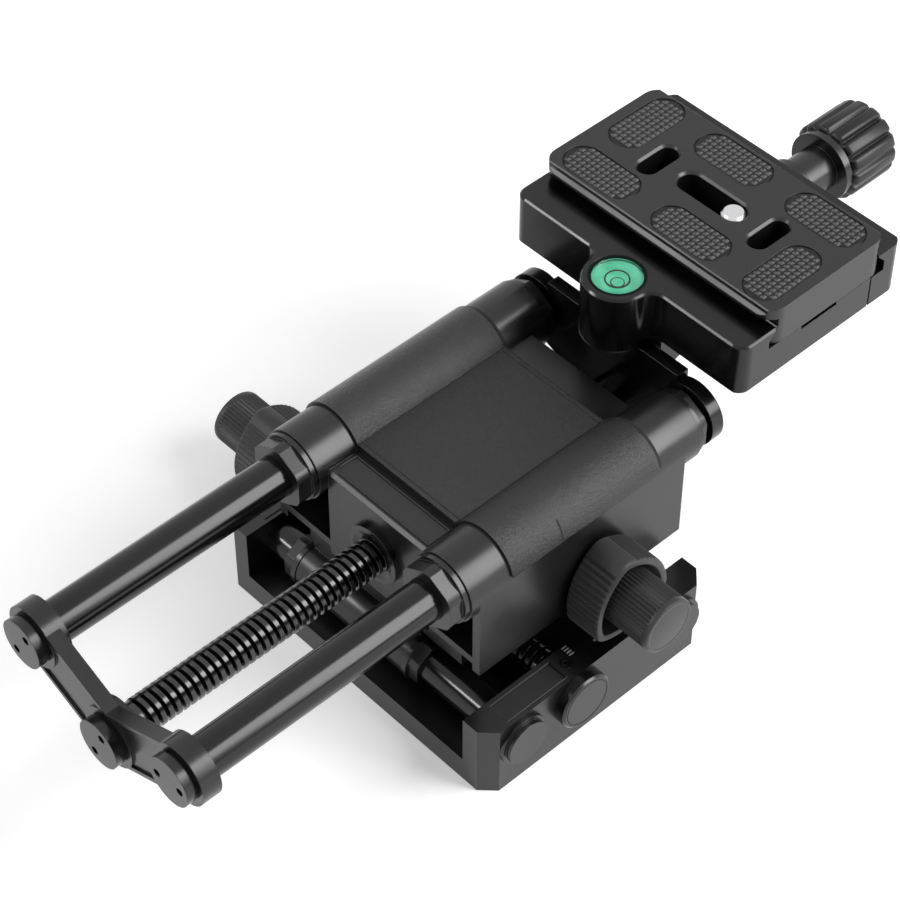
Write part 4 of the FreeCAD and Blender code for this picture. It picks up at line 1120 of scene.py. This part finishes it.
@dataclass
class ClampKnob:
    """Fluted grip of the clamp: wide flats between narrow round grooves."""

    radius: float = 9.8
    length: float = 15.0
    ribs: TurnedRibs = TurnedRibs(count=14, depth=1.1, samples=18, sharpness=5.0)

    def profile(self) -> list[Station]:
        """Give the rings: rounded edges, and flutes that run out before the face's flat middle."""
        r, n = self.radius, self.length
        return [
            Station(0.0, r - 2.2), Station(0.0, r - 1.4, 0.2), Station(0.2, r - 0.8, 0.6),
            Station(0.6, r - 0.25, 0.9), Station(1.1, r, 1.0), Station(n - 1.6, r, 1.0),
            Station(n - 1.0, r - 0.2, 0.95), Station(n - 0.4, r - 0.75, 0.7), Station(n - 0.1, r - 1.5, 0.3),
            Station(n, r - 2.2), Station(n, r - 3.2), Station(n - 0.4, r - 3.6)]

    def build(self, finishes: Finishes) -> bpy.types.Object:
        """Build the grip on the clamp screw's axis.

        Args:
            finishes: The shared materials.

        Returns:
            The new object.
        """
        shell = Shell()
        x, _, z = Extent.of("clamp_screw").middle
        centre = (x, Extent.of("clamp_knob").low[1], z)
        turned(Axis.BACK, centre, self.profile(), self.ribs, shell)
        return shell.piece(
            "clamp_grip", Body.CLAMP_DRIVE, finishes.grip_rubber, finishes, ["clamp_knob"], sharp_deg=40.0)


# ------------------------------------------------------------------ plate and level


@dataclass
class PlatePads:
    """Six rubber pads with a diamond grid of small pyramids.

    Attributes:
        low: How far the pads reach into the plate.
        skin: Height of the pads' skin over the plate's top.
        top: Height of the pyramids' tips over the plate's top.
        length: A pad's length.
        width: A pad's width.
        pitch: Distance from pyramid to pyramid.
        base: Width of a pyramid at its foot.
        tip: Width of a pyramid at its top.
        edge_gap: Gap between a pad and its pocket.
        edge_share: Share of a pyramid's foot that has to lie inside the outline.
        bevel: Width and height of the bevel round the skin.
        end_steps: Steps round one end of a pad.
        half: Centres of three pads from the plate's middle, and whether each lies along X.
    """

    low: float = 0.4
    skin: float = -0.12
    top: float = 0.38
    length: float = 21.2
    width: float = 9.8
    pitch: float = 1.54
    base: float = 1.30
    tip: float = 0.45
    edge_gap: float = 0.2
    edge_share: float = 0.42
    bevel: float = 0.1
    end_steps: int = 18
    half: tuple[tuple[float, float, bool], ...] = (
        (5.2, -12.5, True), (-22.6, -12.5, True), (27.6, -7.3, False))

    def __post_init__(self) -> None:
        """Read the plate's middle and its top from the frame."""
        plate = Extent.of("quick_plate")
        self.middle_x, self.middle_y, _ = plate.middle
        self.seat_z = plate.high[2]

    def places(self) -> list[tuple[float, float, bool]]:
        """Give each pad's centre and whether it lies along X."""
        x0, y0 = self.middle_x, self.middle_y
        return [(x0 + s * x, y0 + s * y, along) for s in (1, -1) for x, y, along in self.half]

    def outline(self, inset: float) -> list[Flat]:
        """Give a pad's outline with round ends, about its own centre.

        Args:
            inset: How far inside the pocket's outline.

        Returns:
            The points in order.
        """
        radius = self.width / 2 - inset
        half = (self.length - self.width) / 2
        points = []
        for end, start in ((half, -90), (-half, 90)):
            for k in range(self.end_steps + 1):
                angle = math.radians(start + 180 * k / self.end_steps)
                points.append((end + radius * math.cos(angle), radius * math.sin(angle)))
        return points

    def inside(self, u: float, v: float, margin: float) -> bool:
        """Tell whether a point of the pad lies at least that far inside its outline.

        Args:
            u: Place along the pad.
            v: Place across the pad.
            margin: The distance.

        Returns:
            Whether it does.
        """
        half = (self.length - self.width) / 2
        over = max(0.0, abs(u) - half)
        return math.hypot(over, v) <= self.width / 2 - margin

    def pyramid(self, u: float, v: float, put: Callable[[float, float, float], Point], shell: Shell) -> None:
        """Add one blunt pyramid, square to the pad's sides.

        Args:
            u: Place of its middle along the pad.
            v: Place of its middle across the pad.
            put: Places a point of the pad on the plate.
            shell: The shell that it is added to.
        """
        square = [(1, 1), (-1, 1), (-1, -1), (1, -1)]
        rings = []
        for size, z in ((self.base, self.skin), (self.tip, self.top)):
            rings.append([put(u + a * size / 2, v + b * size / 2, z) for a, b in square])
        for ring in shell.stack(rings):
            shell.lid(ring)

    def pad(self, x: float, y: float, along_x: bool, shell: Shell) -> None:
        """Add one pad.

        Args:
            x: Its centre's X.
            y: Its centre's Y.
            along_x: Whether it lies along X, or else along Y.
            shell: The shell that it is added to.
        """
        def put(u: float, v: float, z: float) -> Point:
            """Place a point of the pad on the plate."""
            return (x + u, y + v, self.seat_z + z) if along_x else (x - v, y + u, self.seat_z + z)

        gap = self.edge_gap
        levels = [(gap, -self.low), (gap, self.skin - self.bevel), (gap + self.bevel, self.skin)]
        rings = shell.stack([[put(u, v, z) for u, v in self.outline(inset)] for inset, z in levels])
        shell.lid(rings[0])
        shell.lid(rings[-1])
        reach = int(self.length / self.pitch)
        for i in range(-reach, reach + 1):
            for j in range(-reach, reach + 1):
                u, v = (i + 0.5) * self.pitch, (j + 0.5) * self.pitch
                if self.inside(u, v, gap + self.base * self.edge_share):
                    self.pyramid(u, v, put, shell)

    def build(self, finishes: Finishes) -> bpy.types.Object:
        """Build all six pads.

        Args:
            finishes: The shared materials.

        Returns:
            The new object.
        """
        shell = Shell()
        for x, y, along_x in self.places():
            self.pad(x, y, along_x, shell)
        return shell.piece(
            "plate_grip_pads", Body.PLATE, finishes.pad_rubber, finishes, ["plate_pads"], sharp_deg=20.0)


@dataclass
class SpiritLevel:
    """Round spirit level: green liquid, target ring, bubble and a clear domed lens.

    Attributes:
        radius: Radius of the cup of liquid.
        depth: Depth of the cup below the level's rim.
        lens_gap: Gap between the lens and the rim.
        target_r: Radius of the target ring.
        target_thick: Thickness of the target ring.
        bubble_r: Radius of the bubble and of the ring round it.
        bubble_thick: Thickness of the ring round the bubble.
        bubble_at: Where the bubble lies from the middle.
        ring_sink: How far the rings' middle lies below the rim.
        bubble_sink: How far the bubble's widest part lies below the rim.
        cup_points: Points round the cup and the lens.
        bubble_points: Points round the bubble.
    """

    radius: float = 5.9
    depth: float = 5.8
    lens_gap: float = 0.05
    target_r: float = 2.75
    target_thick: float = 0.34
    bubble_r: float = 1.5
    bubble_thick: float = 0.26
    bubble_at: Flat = (0.8, -0.75)
    ring_sink: float = 1.38
    bubble_sink: float = 1.36
    cup_points: int = 64
    bubble_points: int = 32

    def __post_init__(self) -> None:
        """Read the middle from the frame, at the height of the level's rim."""
        x = Extent.of("clamp_body").middle[0]
        y = Extent.of("level_vial").middle[1]
        self.centre: Point = (x, y, Extent.of("level_ring").high[2])

    def liquid(self, finishes: Finishes) -> None:
        """Build the cup of green liquid.

        Args:
            finishes: The shared materials.
        """
        shell = Shell()
        r, low = self.radius, -self.depth
        stations = [
            Station(low, r - 0.3), Station(low + 0.3, r), Station(-1.3, r), Station(-1.2, r - 0.2),
            Station(-1.25, r - 1.1), Station(-1.45, r - 1.5), Station(-1.45, 1.0)]
        turned(Axis.UP, self.centre, stations, TurnedRibs.none(self.cup_points), shell)
        shell.piece("level_spirit", Body.RAIL, finishes.liquid, finishes, ["level_vial"])

    def lens(self, finishes: Finishes) -> None:
        """Build the clear lens that closes the cup.

        Args:
            finishes: The shared materials.
        """
        shell = Shell()
        r = self.radius - self.lens_gap
        stations = [
            Station(-0.95, r), Station(-0.3, r), Station(-0.2, r - 0.25), Station(-0.12, r * 0.75),
            Station(-0.04, r * 0.5), Station(-0.01, r * 0.25)]
        turned(Axis.UP, self.centre, stations, TurnedRibs.none(self.cup_points), shell)
        shell.piece("level_lens", Body.RAIL, finishes.lens, finishes)

    def ring(self, radius: float, thick: float, at: Flat, name: str, finishes: Finishes) -> None:
        """Build one thin dark ring that lies on the liquid.

        Args:
            radius: Its radius.
            thick: Its thickness.
            at: Where it lies from the middle.
            name: The piece's name.
            finishes: The shared materials.
        """
        shell = Shell()
        x, y, z = self.centre
        thin_ring(Axis.UP, (x + at[0], y + at[1], z - self.ring_sink), radius, thick, shell)
        shell.piece(name, Body.RAIL, finishes.ring, finishes)

    def bubble(self, finishes: Finishes) -> None:
        """Build the flat bubble of air.

        Args:
            finishes: The shared materials.
        """
        shell = Shell()
        r = self.bubble_r
        x, y, z = self.centre
        stations = [Station(-0.12, r * 0.7), Station(0.0, r), Station(0.12, r * 0.85), Station(0.2, r * 0.45)]
        centre = (x + self.bubble_at[0], y + self.bubble_at[1], z - self.bubble_sink)
        turned(Axis.UP, centre, stations, TurnedRibs.none(self.bubble_points), shell)
        shell.piece("level_bubble", Body.RAIL, finishes.liquid, finishes)

    def build(self, finishes: Finishes) -> None:
        """Build the whole level.

        Args:
            finishes: The shared materials.
        """
        self.liquid(finishes)
        self.ring(self.target_r, self.target_thick, (0.0, 0.0), "level_target", finishes)
        self.ring(self.bubble_r, self.bubble_thick, self.bubble_at, "level_bubble_edge", finishes)
        self.bubble(finishes)
        self.lens(finishes)


# ------------------------------------------------------------------ thin trim


@dataclass
class CoverSeams:
    """Dark seams round the sleeves at both ends of the cover, two across its web and a split in its flank.

    Attributes:
        sleeve_r: Radius of the sleeves that the cover ends on.
        proud: Full height of a seam, of which a part is sunk.
        sunk: How far a seam is sunk into what it lies on.
        gap: Gap between the cover's end and its seam.
        width: Width of the front seams.
        rear_width: Width of the rear seams.
        web_z: Top of the cover's web.
        web_half: Half the length of a line across the web.
        web_inset: Distance from the cover's end to its line across the web.
        web_line: Width of a line across the web.
        web_span: Bottom and top of a line, from the web's top.
        arc_deg: Where a seam starts and ends round its sleeve.
        split_r: Radius of the cover where the split is.
        split_y: Where the split starts.
        split_width: Its width.
        split_deg: Where it starts and ends round the sleeve.
        steps: Steps along a seam.
    """

    sleeve_r: float = 8.75
    proud: float = 0.06
    sunk: float = 0.05
    gap: float = 0.01
    width: float = 0.5
    rear_width: float = 1.1
    web_z: float = 54.62
    web_half: float = 15.4
    web_inset: float = 1.1
    web_line: float = 0.3
    web_span: Flat = (-0.1, 0.03)
    arc_deg: Flat = (12.0, 168.0)
    split_r: float = 9.46
    split_y: float = -2.2
    split_width: float = 0.35
    split_deg: Flat = (10.0, 44.0)
    steps: int = 48

    def __post_init__(self) -> None:
        """Read the cover's ends and the sleeves' axes from the frame."""
        cover = Extent.of("top_cover")
        self.front_y, self.rear_y = cover.low[1], cover.high[1]
        self.sleeve_x, _, self.sleeve_z = Extent.of("right_rod").middle

    def band(self, side: int, span: Flat, radius: float, arc_deg: Flat, shell: Shell) -> None:
        """Add one seam round a sleeve.

        Args:
            side: 1 for the right sleeve, -1 for the left.
            span: Where the seam starts and ends along Y.
            radius: Radius of the face that it lies on.
            arc_deg: Where it starts and ends round the sleeve.
            shell: The shell that it is added to.
        """
        inner, outer = radius - self.sunk, radius + self.proud - self.sunk
        start, end = arc_deg
        angles = [math.radians(start + (end - start) * i / self.steps) for i in range(self.steps + 1)]
        x, z = side * self.sleeve_x, self.sleeve_z
        rings = []
        for r, y in ((inner, span[0]), (outer, span[0]), (outer, span[1]), (inner, span[1])):
            rings.append([(x + r * math.cos(angle), y, z + r * math.sin(angle)) for angle in angles])
        made = shell.stack(rings, loop=True, closed=False)
        shell.lid([ring[0] for ring in made])
        shell.lid([ring[-1] for ring in made])

    def build(self, finishes: Finishes) -> bpy.types.Object:
        """Build the seams, the lines and the split.

        Args:
            finishes: The shared materials.

        Returns:
            The new object.
        """
        shell = Shell()
        front = (self.front_y - self.width, self.front_y - self.gap)
        rear = (self.rear_y + self.gap, self.rear_y + self.rear_width)
        for side in (-1, 1):
            for span in (front, rear):
                self.band(side, span, self.sleeve_r, self.arc_deg, shell)
        split = (self.split_y, self.split_y + self.split_width)
        self.band(1, split, self.split_r, self.split_deg, shell)
        x_span = (-self.web_half, self.web_half)
        z_span = (self.web_z + self.web_span[0], self.web_z + self.web_span[1])
        for y in (self.front_y + self.web_inset, self.rear_y - self.web_inset - self.web_line):
            flat_bar(x_span, (y, y + self.web_line), z_span, shell)
        return shell.piece("cover_seams", Body.CARRIAGE, finishes.seam, finishes)


@dataclass
class BlockRim:
    """Low rim round the bare top of the centre block, in front of the cover."""

    top_z: float = 52.6
    proud: float = 0.3
    sunk: float = 0.1
    left_x: float = -14.9
    right_x: float = 15.2
    front_y: float = -24.6
    rear_y: float = -18.1
    corner: float = 1.4
    width: float = 0.4

    def outline(self, inset: float) -> list[Flat]:
        """Give the rim's outline with one cut corner.

        Args:
            inset: How far inside the full outline.

        Returns:
            The points in order.
        """
        x0, x1 = self.left_x + inset, self.right_x - inset
        y0, y1 = self.front_y + inset, self.rear_y - inset
        return [(x0, y1), (x0, y0 + self.corner), (x0 + self.corner, y0), (x1, y0), (x1, y1)]

    def build(self, finishes: Finishes) -> bpy.types.Object:
        """Build the rim.

        Args:
            finishes: The shared materials.

        Returns:
            The new object.
        """
        shell = Shell()
        low, high = self.top_z - self.sunk, self.top_z + self.proud
        levels = ((0.0, low), (0.0, high), (self.width, high), (self.width, low))
        shell.stack([[(x, y, z) for x, y in self.outline(inset)] for inset, z in levels], loop=True)
        return shell.piece("block_rim", Body.CARRIAGE, finishes.casting, finishes)


@dataclass
class WallRims:
    """Low lips along two sides of the strips in the tray's wall tops.

    Attributes:
        proud: Height of a lip over the wall.
        sunk: How far a lip is sunk into the wall.
        width: Width of a lip.
        inner_x: Inner side of the right strip.
        front_inset: How far behind the strip's front end a lip starts.
        rear_gap: Gap between the strip's rear end and the lip behind it.
    """

    proud: float = 0.25
    sunk: float = 0.1
    width: float = 0.4
    inner_x: float = 37.4
    front_inset: float = 0.05
    rear_gap: float = 0.1

    def build(self, finishes: Finishes) -> bpy.types.Object:
        """Build both strips' lips.

        Args:
            finishes: The shared materials.

        Returns:
            The new object.
        """
        shell = Shell()
        strips, top_z = Extent.of("wall_strips"), Extent.of("right_wall").high[2]
        front_y, rear_y = strips.low[1] + self.front_inset, strips.high[1] + self.rear_gap
        z_span = (top_z - self.sunk, top_z + self.proud)
        for side in (-1, 1):
            edge, inner, outer = (side * x for x in (self.inner_x - self.width, self.inner_x, strips.high[0]))
            flat_bar((edge, inner), (front_y, rear_y), z_span, shell)
            flat_bar((edge, outer), (rear_y, rear_y + self.width), z_span, shell)
        return shell.piece("wall_rims", Body.BASE, finishes.casting, finishes)


@dataclass
class DiscLine:
    """Dark circle in the face of the disc over the cross screw's end."""

    radius: float = 6.1
    thick: float = 0.24
    sink: float = 0.03

    def build(self, finishes: Finishes) -> bpy.types.Object:
        """Build the circle on the cross knob's axis.

        Args:
            finishes: The shared materials.

        Returns:
            The new object.
        """
        shell = Shell()
        face_x = Extent.of("screw_end_disc").high[0]
        _, y, z = Extent.of("cross_knob").middle
        thin_ring(Axis.RIGHT, (face_x - self.sink, y, z), self.radius, self.thick, shell)
        return shell.piece("disc_line", Body.BASE, finishes.seam, finishes)


@dataclass
class WallMarks:
    """Row of small printed ticks, and a dot, on the tray's right wall top.

    Attributes:
        lift: Gap between the wall and the paint.
        proud: Top of the paint over the wall.
        row_y: Middle of the row along Y.
        row_from: Middle of the first tick along X.
        row_step: Distance from tick to tick.
        count: How many ticks.
        tick_half: Half a tick's width and half its length.
        dot: Where the dot is.
        dot_half: Half the dot's width.
    """

    lift: float = 0.005
    proud: float = 0.04
    row_y: float = -4.0
    row_from: float = 36.5
    row_step: float = 0.8
    count: int = 4
    tick_half: Flat = (0.14, 0.7)
    dot: Flat = (39.6, 2.4)
    dot_half: float = 0.3

    def build(self, finishes: Finishes) -> bpy.types.Object:
        """Build the ticks and the dot.

        Args:
            finishes: The shared materials.

        Returns:
            The new object.
        """
        shell = Shell()
        top_z = Extent.of("right_wall").high[2]
        ticks = [(self.row_from + self.row_step * i, self.row_y, *self.tick_half) for i in range(self.count)]
        for x, y, half_x, half_y in [*ticks, (*self.dot, self.dot_half, self.dot_half)]:
            x_span, y_span = (x - half_x, x + half_x), (y - half_y, y + half_y)
            flat_bar(x_span, y_span, (top_z + self.lift, top_z + self.proud), shell)
        return shell.piece("wall_marks", Body.BASE, finishes.mark, finishes)


# ------------------------------------------------------------------ finishes of the CAD nodes


@dataclass
class CadFinishes:
    """Gives each CAD node its finish."""

    frame: dict

    def table(self, f: Finishes) -> dict[str, Finish]:
        """Give the finish of every node.

        Args:
            f: The shared finishes.

        Returns:
            The node's name to its finish.
        """
        groups: list[tuple[Finish, Sequence[str]]] = [
            (f.casting, ("carriage_body", "carriage_saddle")),
            (f.tray, ("base_tray", "left_wall", "right_wall")),
            (f.cap, ("wall_strips", "cross_rod_caps", "screw_bushes", "screw_end_disc", "long_glands",
                     "worm_rings", "cross_glands", "end_yoke", "rod_end_caps", "clamp_stem")),
            (f.rod, ("front_cross_rod", "rear_cross_rod", "left_rod", "right_rod")),
            (f.thread, ("grub_screws", "saddle_bolts", "head_screws", "clamp_bolts", "plate_stop_screws",
                        "screw_clip", "cross_screw", "worm_rod")),
            (f.clamp, ("head_bracket", "clamp_body", "moving_jaw")),
            (f.plate, ("quick_plate",)),
            (f.steel, ("tripod_bush", "drive_shaft", "drive_pinion", "guide_pins", "clamp_screw",
                       "camera_screw")),
            (f.bronze, ("long_bushes", "cross_bushes", "cross_nut", "shaft_bushes")),
            (f.knob_rubber, ("cross_lock_knob", "drive_lock_knob")),
            (f.knob_plastic, ("cross_knob", "drive_knob")),
            (f.grip_rubber, ("clamp_knob",)),
            (f.cover, ("top_cover",)),
            (f.pad_rubber, ("plate_pads",)),
            (f.liquid, ("level_vial",)),
            (f.ring, ("level_ring",)),
        ]
        return {node: finish for finish, nodes in groups for node in nodes}

    def dress(self, finishes: Finishes) -> None:
        """Assign the finishes to the nodes' material slots.

        Args:
            finishes: The shared finishes.
        """
        table = self.table(finishes)
        for name, node in self.frame["nodes"].items():
            material = finishes.get(table[name])
            node.data.materials.clear()
            node.data.materials.append(material)


# ------------------------------------------------------------------ studio


@dataclass(frozen=True)
class Softbox:
    """One soft area lamp, in metres and watts."""

    name: str
    at: Point
    towards: Point
    width: float
    height: float
    watts: float

    def build(self) -> None:
        """Hang the lamp."""
        data = bpy.data.lights.new(self.name, "AREA")
        data.shape = "RECTANGLE"
        data.size = self.width
        data.size_y = self.height
        data.energy = self.watts
        lamp = bpy.data.objects.new(self.name, data)
        lamp.location = self.at
        lamp.rotation_euler = (Vector(self.towards) - Vector(self.at)).to_track_quat("-Z", "Y").to_euler()
        bpy.context.scene.collection.objects.link(lamp)


@dataclass
class Studio:
    """Plain pale floor, soft lamps, white surroundings and the camera, in metres.

    Attributes:
        camera_at: Where the camera stands.
        camera_turn_deg: Its turn about X, Y and Z.
        lens_mm: Its focal length.
        sensor_mm: Width of its sensor.
        sight: Nearest and farthest distance that it sees.
        floor_half: Half the floor's side.
        floor_z: Height of the floor, just clear of the rail's underside.
        fibre_per_m: Fibres of the floor's paper in a metre.
        paper: Grey of the paper, darkest and palest.
        paper_rough: Its roughness.
        paper_gloss: Its gloss.
        ambient: Strength of the world as a light.
        floor_glow: Strength that the floor gains where it is seen.
        lamps: The lamps.
    """

    camera_at: Point = (0.30408, -0.28807, 0.49842)
    camera_turn_deg: Point = (43.22, 0.0, 46.96)
    lens_mm: float = 111.96
    sensor_mm: float = 36.0
    sight: Flat = (0.01, 20.0)
    floor_half: float = 3.0
    floor_z: float = -0.0002
    fibre_per_m: float = 400.0
    paper: Flat = (0.94, 0.96)
    paper_rough: float = 0.9
    paper_gloss: float = 0.1
    ambient: float = 0.28
    floor_glow: float = 0.35
    lamps: tuple[Softbox, ...] = (
        Softbox("front_box", (-0.50, -0.74, 0.62), (0.0, 0.0, 0.05), 0.35, 0.12, 3.0),
        Softbox("right_box", (0.66, 0.46, 0.58), (0.0, 0.0, 0.05), 0.55, 0.85, 11.0),
    )

    def camera(self) -> None:
        """Set the camera at the viewing angle."""
        data = bpy.data.cameras.new("view_camera")
        data.lens = self.lens_mm
        data.sensor_width = self.sensor_mm
        data.clip_start, data.clip_end = self.sight
        camera = bpy.data.objects.new("view_camera", data)
        camera.location = self.camera_at
        camera.rotation_euler = Euler([math.radians(a) for a in self.camera_turn_deg])
        bpy.context.scene.collection.objects.link(camera)
        bpy.context.scene.camera = camera

    def in_sight(self, tree: bpy.types.NodeTree) -> Socket:
        """Give 1 where a surface is seen directly, mirrored or seen through.

        Args:
            tree: The node tree that the switch is added to.

        Returns:
            The switch's socket.
        """
        rays = tree.nodes.new("ShaderNodeLightPath")
        shown = rays.outputs["Is Camera Ray"]
        for kind in ("Is Glossy Ray", "Is Transmission Ray"):
            either = tree.nodes.new("ShaderNodeMath")
            either.operation = "MAXIMUM"
            tree.links.new(shown, either.inputs[0])
            tree.links.new(rays.outputs[kind], either.inputs[1])
            shown = either.outputs["Value"]
        return shown

    def floor_paper(self) -> bpy.types.Material:
        """Make the floor's pale paper, which glows a little only where it is seen.

        Returns:
            The material.
        """
        g = Graph("floor_paper")
        dark, light = ((grey, grey, grey) for grey in self.paper)
        plain = g.node(
            "ShaderNodeBsdfPrincipled", Base_Color=g.tint(g.noise(self.fibre_per_m, 4.0), dark, light),
            Roughness=self.paper_rough, Specular_IOR_Level=self.paper_gloss)
        glow = g.node("ShaderNodeEmission", Color=WHITE, Strength=self.floor_glow)
        bright = g.node("ShaderNodeAddShader")
        feed(g.tree, bright, 0, plain, glow)
        shown = g.node("ShaderNodeMixShader", Fac=self.in_sight(g.tree))
        feed(g.tree, shown, 1, plain, bright)
        return g.finish(shown)

    def floor(self) -> None:
        """Lay the floor."""
        h, z = self.floor_half, self.floor_z
        mesh = bpy.data.meshes.new("studio_floor")
        mesh.from_pydata([(-h, -h, z), (h, -h, z), (h, h, z), (-h, h, z)], [], [(0, 1, 2, 3)])
        mesh.materials.append(self.floor_paper())
        sheet = bpy.data.objects.new("studio_floor", mesh)
        bpy.context.scene.collection.objects.link(sheet)

    def surroundings(self) -> None:
        """Make the world white where it is seen, mirrored or seen through, and dimmer as a light."""
        world = bpy.data.worlds.new("studio_world")
        world.use_nodes = True
        tree = world.node_tree
        tree.nodes.clear()
        skies = []
        for strength in (self.ambient, 1.0):
            sky = tree.nodes.new("ShaderNodeBackground")
            sky.inputs["Color"].default_value = WHITE
            sky.inputs["Strength"].default_value = strength
            skies.append(sky)
        mix = tree.nodes.new("ShaderNodeMixShader")
        tree.links.new(self.in_sight(tree), mix.inputs[0])
        feed(tree, mix, 1, *skies)
        feed(tree, tree.nodes.new("ShaderNodeOutputWorld"), 0, mix)
        bpy.context.scene.world = world

    def build(self) -> None:
        """Set up the whole studio."""
        bpy.context.scene.view_settings.view_transform = "Standard"
        self.camera()
        self.floor()
        self.surroundings()
        for lamp in self.lamps:
            lamp.build()


# ------------------------------------------------------------------ the rail


class FocusingRail:
    """The rail's detailed pieces, built around the frame's CAD nodes."""

    def rods(self) -> list[tuple[str, Builder]]:
        """Give the name and the builder of each threaded rod.

        Returns:
            The two rods.
        """
        worm = ThreadedRod(
            name="rack_thread", node="worm_rod", body=Body.RAIL, axis=Axis.BACK, round_node="worm_rod",
            plain=(5.8, 4.0), short=(0.02, 0.02), plain_r=4.2, outer_r=4.4, root_r=2.9)
        cross = ThreadedRod(
            name="cross_thread", node="cross_screw", body=Body.CROSS_DRIVE, axis=Axis.RIGHT,
            round_node="cross_knob", plain=(28.7, 6.6), short=(0.1, 0.0), plain_r=3.0, outer_r=4.0,
            root_r=2.95)
        return [("rack thread", worm.build), ("cross thread", cross.build)]

    def knobs(self) -> list[tuple[str, Builder]]:
        """Give the name and the builder of each knob: a lock knob and a small knob on either side.

        Returns:
            The four side knobs and the clamp's.
        """
        long_lock = LockKnob(
            name="long_lock_grip", node="drive_lock_knob", body=Body.DRIVE_LOCK, axis=Axis.RIGHT,
            small_node="drive_knob", bore_r=2.45)
        long_drive = SmallKnob(name="long_drive_grip", node="drive_knob", body=Body.DRIVE, axis=Axis.RIGHT)
        cross_lock = LockKnob(
            name="cross_lock_grip", node="cross_lock_knob", body=Body.CROSS_LOCK, axis=Axis.LEFT,
            small_node="cross_knob", bore_r=3.05)
        cross_drive = SmallKnob(
            name="cross_drive_grip", node="cross_knob", body=Body.CROSS_DRIVE, axis=Axis.LEFT)
        return [
            ("long drive lock knob", long_lock.build),
            ("long drive knob", long_drive.build),
            ("cross lock knob", cross_lock.build),
            ("cross knob", cross_drive.build),
            ("clamp knob", ClampKnob().build),
        ]

    def fittings(self) -> list[tuple[str, Builder]]:
        """Give the name and the builder of the pads, the level and the thin trim.

        Returns:
            The fittings in order.
        """
        return [
            ("plate pads", PlatePads().build),
            ("spirit level", SpiritLevel().build),
            ("cover seams", CoverSeams().build),
            ("block rim", BlockRim().build),
            ("wall rims", WallRims().build),
            ("disc line", DiscLine().build),
            ("wall marks", WallMarks().build),
        ]

    def build(self, finishes: Finishes) -> None:
        """Build every piece and report it.

        Args:
            finishes: The shared materials.
        """
        for name, make in [*self.rods(), *self.knobs(), *self.fittings()]:
            make(finishes)
            LOG.info("built %s", name)


def main() -> None:
    """Load the frame, dress it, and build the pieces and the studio."""
    logging.basicConfig(level=logging.INFO, format="%(message)s")
    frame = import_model()
    finishes = Finishes()
    CadFinishes(frame).dress(finishes)
    LOG.info("dressed %d CAD nodes", len(frame["nodes"]))
    FocusingRail().build(finishes)
    Studio().build()
    LOG.info("built the studio")
    bpy.context.view_layer.update()


if __name__ == "__main__":
    main()
